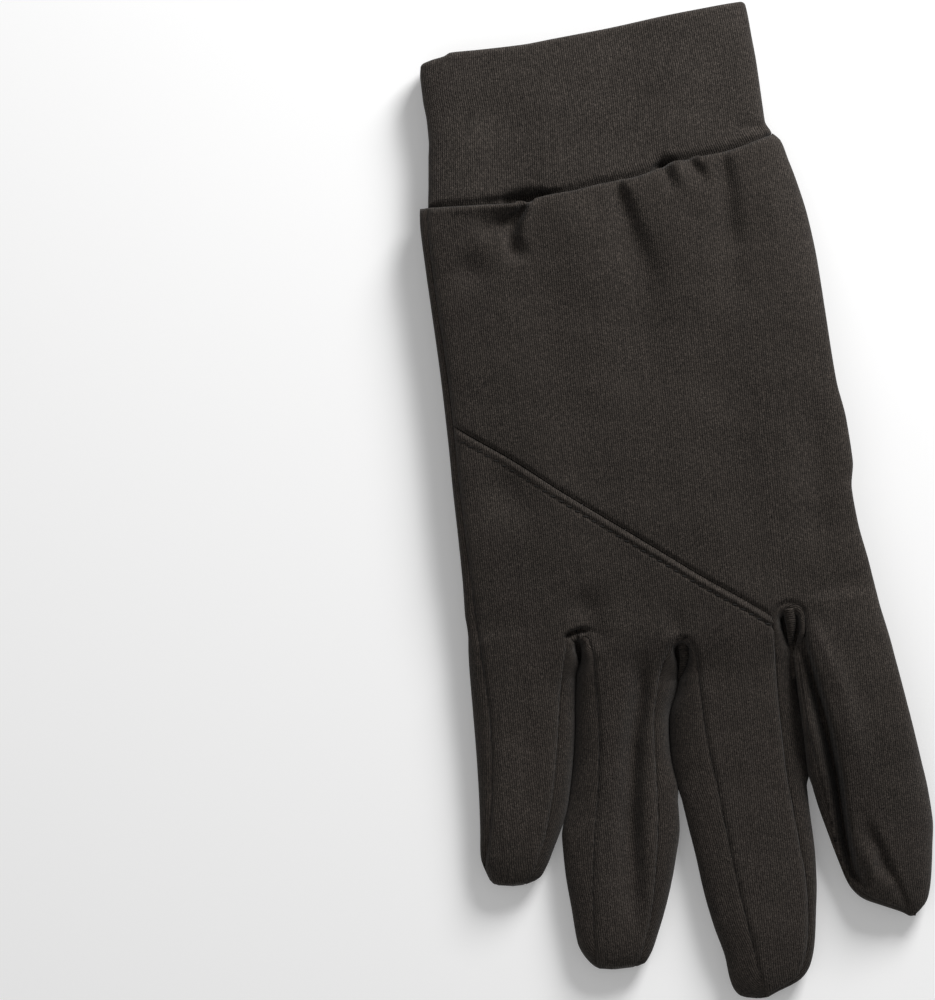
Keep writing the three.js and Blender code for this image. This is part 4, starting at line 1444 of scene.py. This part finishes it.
STITCH_LENGTH, STITCH_WIDTH = 1.5, 0.36
STITCH_SLANT = math.radians(22)
STITCHES_FROM_TO = -44.6, 19.6
STITCH_RISE = 0.13  # the thread's middle lies this far above the bottom of its furrow
# The thread is coloured darker than the cloth as painted shade of the pits at the stitches.
THREAD_WITH_PAINTED_SHADE = "#1b1917"


def thread_material():
    """Spun polyester sewing thread, a little smoother than the knit but dull too. Its colour, darker than
    the knit's, is painted shade of the pits that the stitches sink into.
    """
    return plain_material("spun_polyester_thread", THREAD_WITH_PAINTED_SHADE, {"Roughness": 0.75, "Specular IOR Level": 0.3})


def stitch_tree(material):
    """Node tree that lays one thread stitch after another along a line of edges."""
    tree = bpy.data.node_groups.new("topstitch", "GeometryNodeTree")
    face = tree.interface
    face.new_socket("Line", in_out="INPUT", socket_type="NodeSocketGeometry")
    kinds = {"Pitch": "NodeSocketFloat", "Size": "NodeSocketVector", "Slant": "NodeSocketVector"}
    sockets = {
        name: face.new_socket(name, in_out="INPUT", socket_type=kind).identifier
        for name, kind in kinds.items()
    }
    face.new_socket("Stitches", in_out="OUTPUT", socket_type="NodeSocketGeometry")
    given = node(tree, "NodeGroupInput").outputs
    out = adder(tree)
    line = out("GeometryNodeMeshToCurve", {"Mesh": given["Line"]})
    spaced = out("GeometryNodeResampleCurve", {"Curve": line, "Length": given["Pitch"]}, mode="LENGTH")
    turned = out("FunctionNodeAlignRotationToVector", {"Vector": out("GeometryNodeInputTangent")}, axis="X")
    slant = {"Rotation": turned, "Rotate By": given["Slant"]}
    slanted = out("FunctionNodeRotateRotation", slant, rotation_space="LOCAL")
    capsule = out("GeometryNodeMeshUVSphere", {"Segments": 10, "Rings": 8, "Radius": 0.5})
    smoothed = out("GeometryNodeSetShadeSmooth", {"Geometry": capsule})
    laying = {"Points": spaced, "Instance": smoothed, "Rotation": slanted, "Scale": given["Size"]}
    real = out("GeometryNodeRealizeInstances", {"Geometry": out("GeometryNodeInstanceOnPoints", laying)})
    done = out("GeometryNodeSetMaterial", {"Geometry": real, "Material": material})
    node(tree, "NodeGroupOutput", {"Stitches": done})
    return tree, sockets


def make_topstitch():
    """The row of stitches beside the diagonal seam."""
    x = np.linspace(*STITCHES_FROM_TO, 140)
    y = diagonal(x)
    for _ in range(6):
        y = y - (TOPSTITCH_OFFSET - diagonal_distance(x, y))
    z = back_height(x, y) + topstitched_band(x, y) + STITCH_RISE
    mesh = bpy.data.meshes.new("topstitch_line")
    line = (np.stack([x, y, z], 1) * MM).tolist()
    mesh.from_pydata(line, [(k, k + 1) for k in range(len(line) - 1)], [])
    piece = add_object("topstitch_row", mesh)
    tree, sockets = stitch_tree(thread_material())
    maker = piece.modifiers.new("stitches", "NODES")
    maker.node_group = tree
    maker[sockets["Pitch"]] = STITCH_PITCH * MM
    maker[sockets["Size"]] = (STITCH_LENGTH * MM, STITCH_WIDTH * MM, STITCH_WIDTH * MM)
    maker[sockets["Slant"]] = (0.0, 0.0, STITCH_SLANT)
    made = piece.evaluated_get(bpy.context.evaluated_depsgraph_get())
    stitches = bpy.data.meshes.new_from_object(made)
    piece.modifiers.remove(maker)
    piece.data = stitches
    stitches.name = "topstitch_row"
    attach(piece, BODY)


make_topstitch()

# Camera straight above, at the photograph's roll, with a long lens
PHOTO_CENTRE = (-45.2, 8.05)
PHOTO_HEIGHT = 230.0
PHOTO_ROLL = math.radians(-7.0)
LENS = 200.0
SENSOR = 36.0
SHARP_LEVEL = 6.0
camera_data = bpy.data.cameras.new("camera")
camera_data.lens = LENS
camera_data.sensor_width = SENSOR
camera_data.clip_start = 0.01
camera = add_object("camera", camera_data)
distance = PHOTO_HEIGHT * LENS / SENSOR
camera.location = Vector((PHOTO_CENTRE[0], PHOTO_CENTRE[1], SHARP_LEVEL + distance)) * MM
camera.rotation_euler = (0, 0, PHOTO_ROLL)
bpy.context.scene.camera = camera

# Floor
FLOOR_HALF = 1.6
floor_mesh = bpy.data.meshes.new("floor")
floor_mesh.from_pydata(
    [(FLOOR_HALF * x, FLOOR_HALF * y, 0) for x, y in ((-1, -1), (1, -1), (1, 1), (-1, 1))],
    [],
    [(0, 1, 2, 3)],
)
floor = add_object("floor", floor_mesh)
# Matt white paper, lit from behind a little, so that the glove's shadow on it stays pale
PAPER = {"Roughness": 0.9, "Emission Color": linear("#ffffff"), "Emission Strength": 0.15}
floor_mesh.materials.append(plain_material("white_paper", "#f4f4f4", PAPER))


def soft_light(name, place, size, power):
    """A large square lamp that points at the middle of the object."""
    data = bpy.data.lights.new(name, "AREA")
    data.size = size
    data.energy = power
    lamp = add_object(name, data)
    lamp.location = Vector(place)
    lamp.rotation_euler = (-Vector(place)).to_track_quat("-Z", "Y").to_euler()


soft_light("key_light", (0.40, 0.60, 0.40), 0.32, 8.2)
soft_light("fill_light", (-0.5, -0.2, 1.3), 1.2, 2)
world = bpy.data.worlds.new("studio")
world.use_nodes = True
sky = world.node_tree.nodes["Background"].inputs
sky["Color"].default_value = linear("#ffffff")
sky["Strength"].default_value = 0.24
bpy.context.scene.world = world
bpy.context.scene.view_settings.view_transform = "Standard"
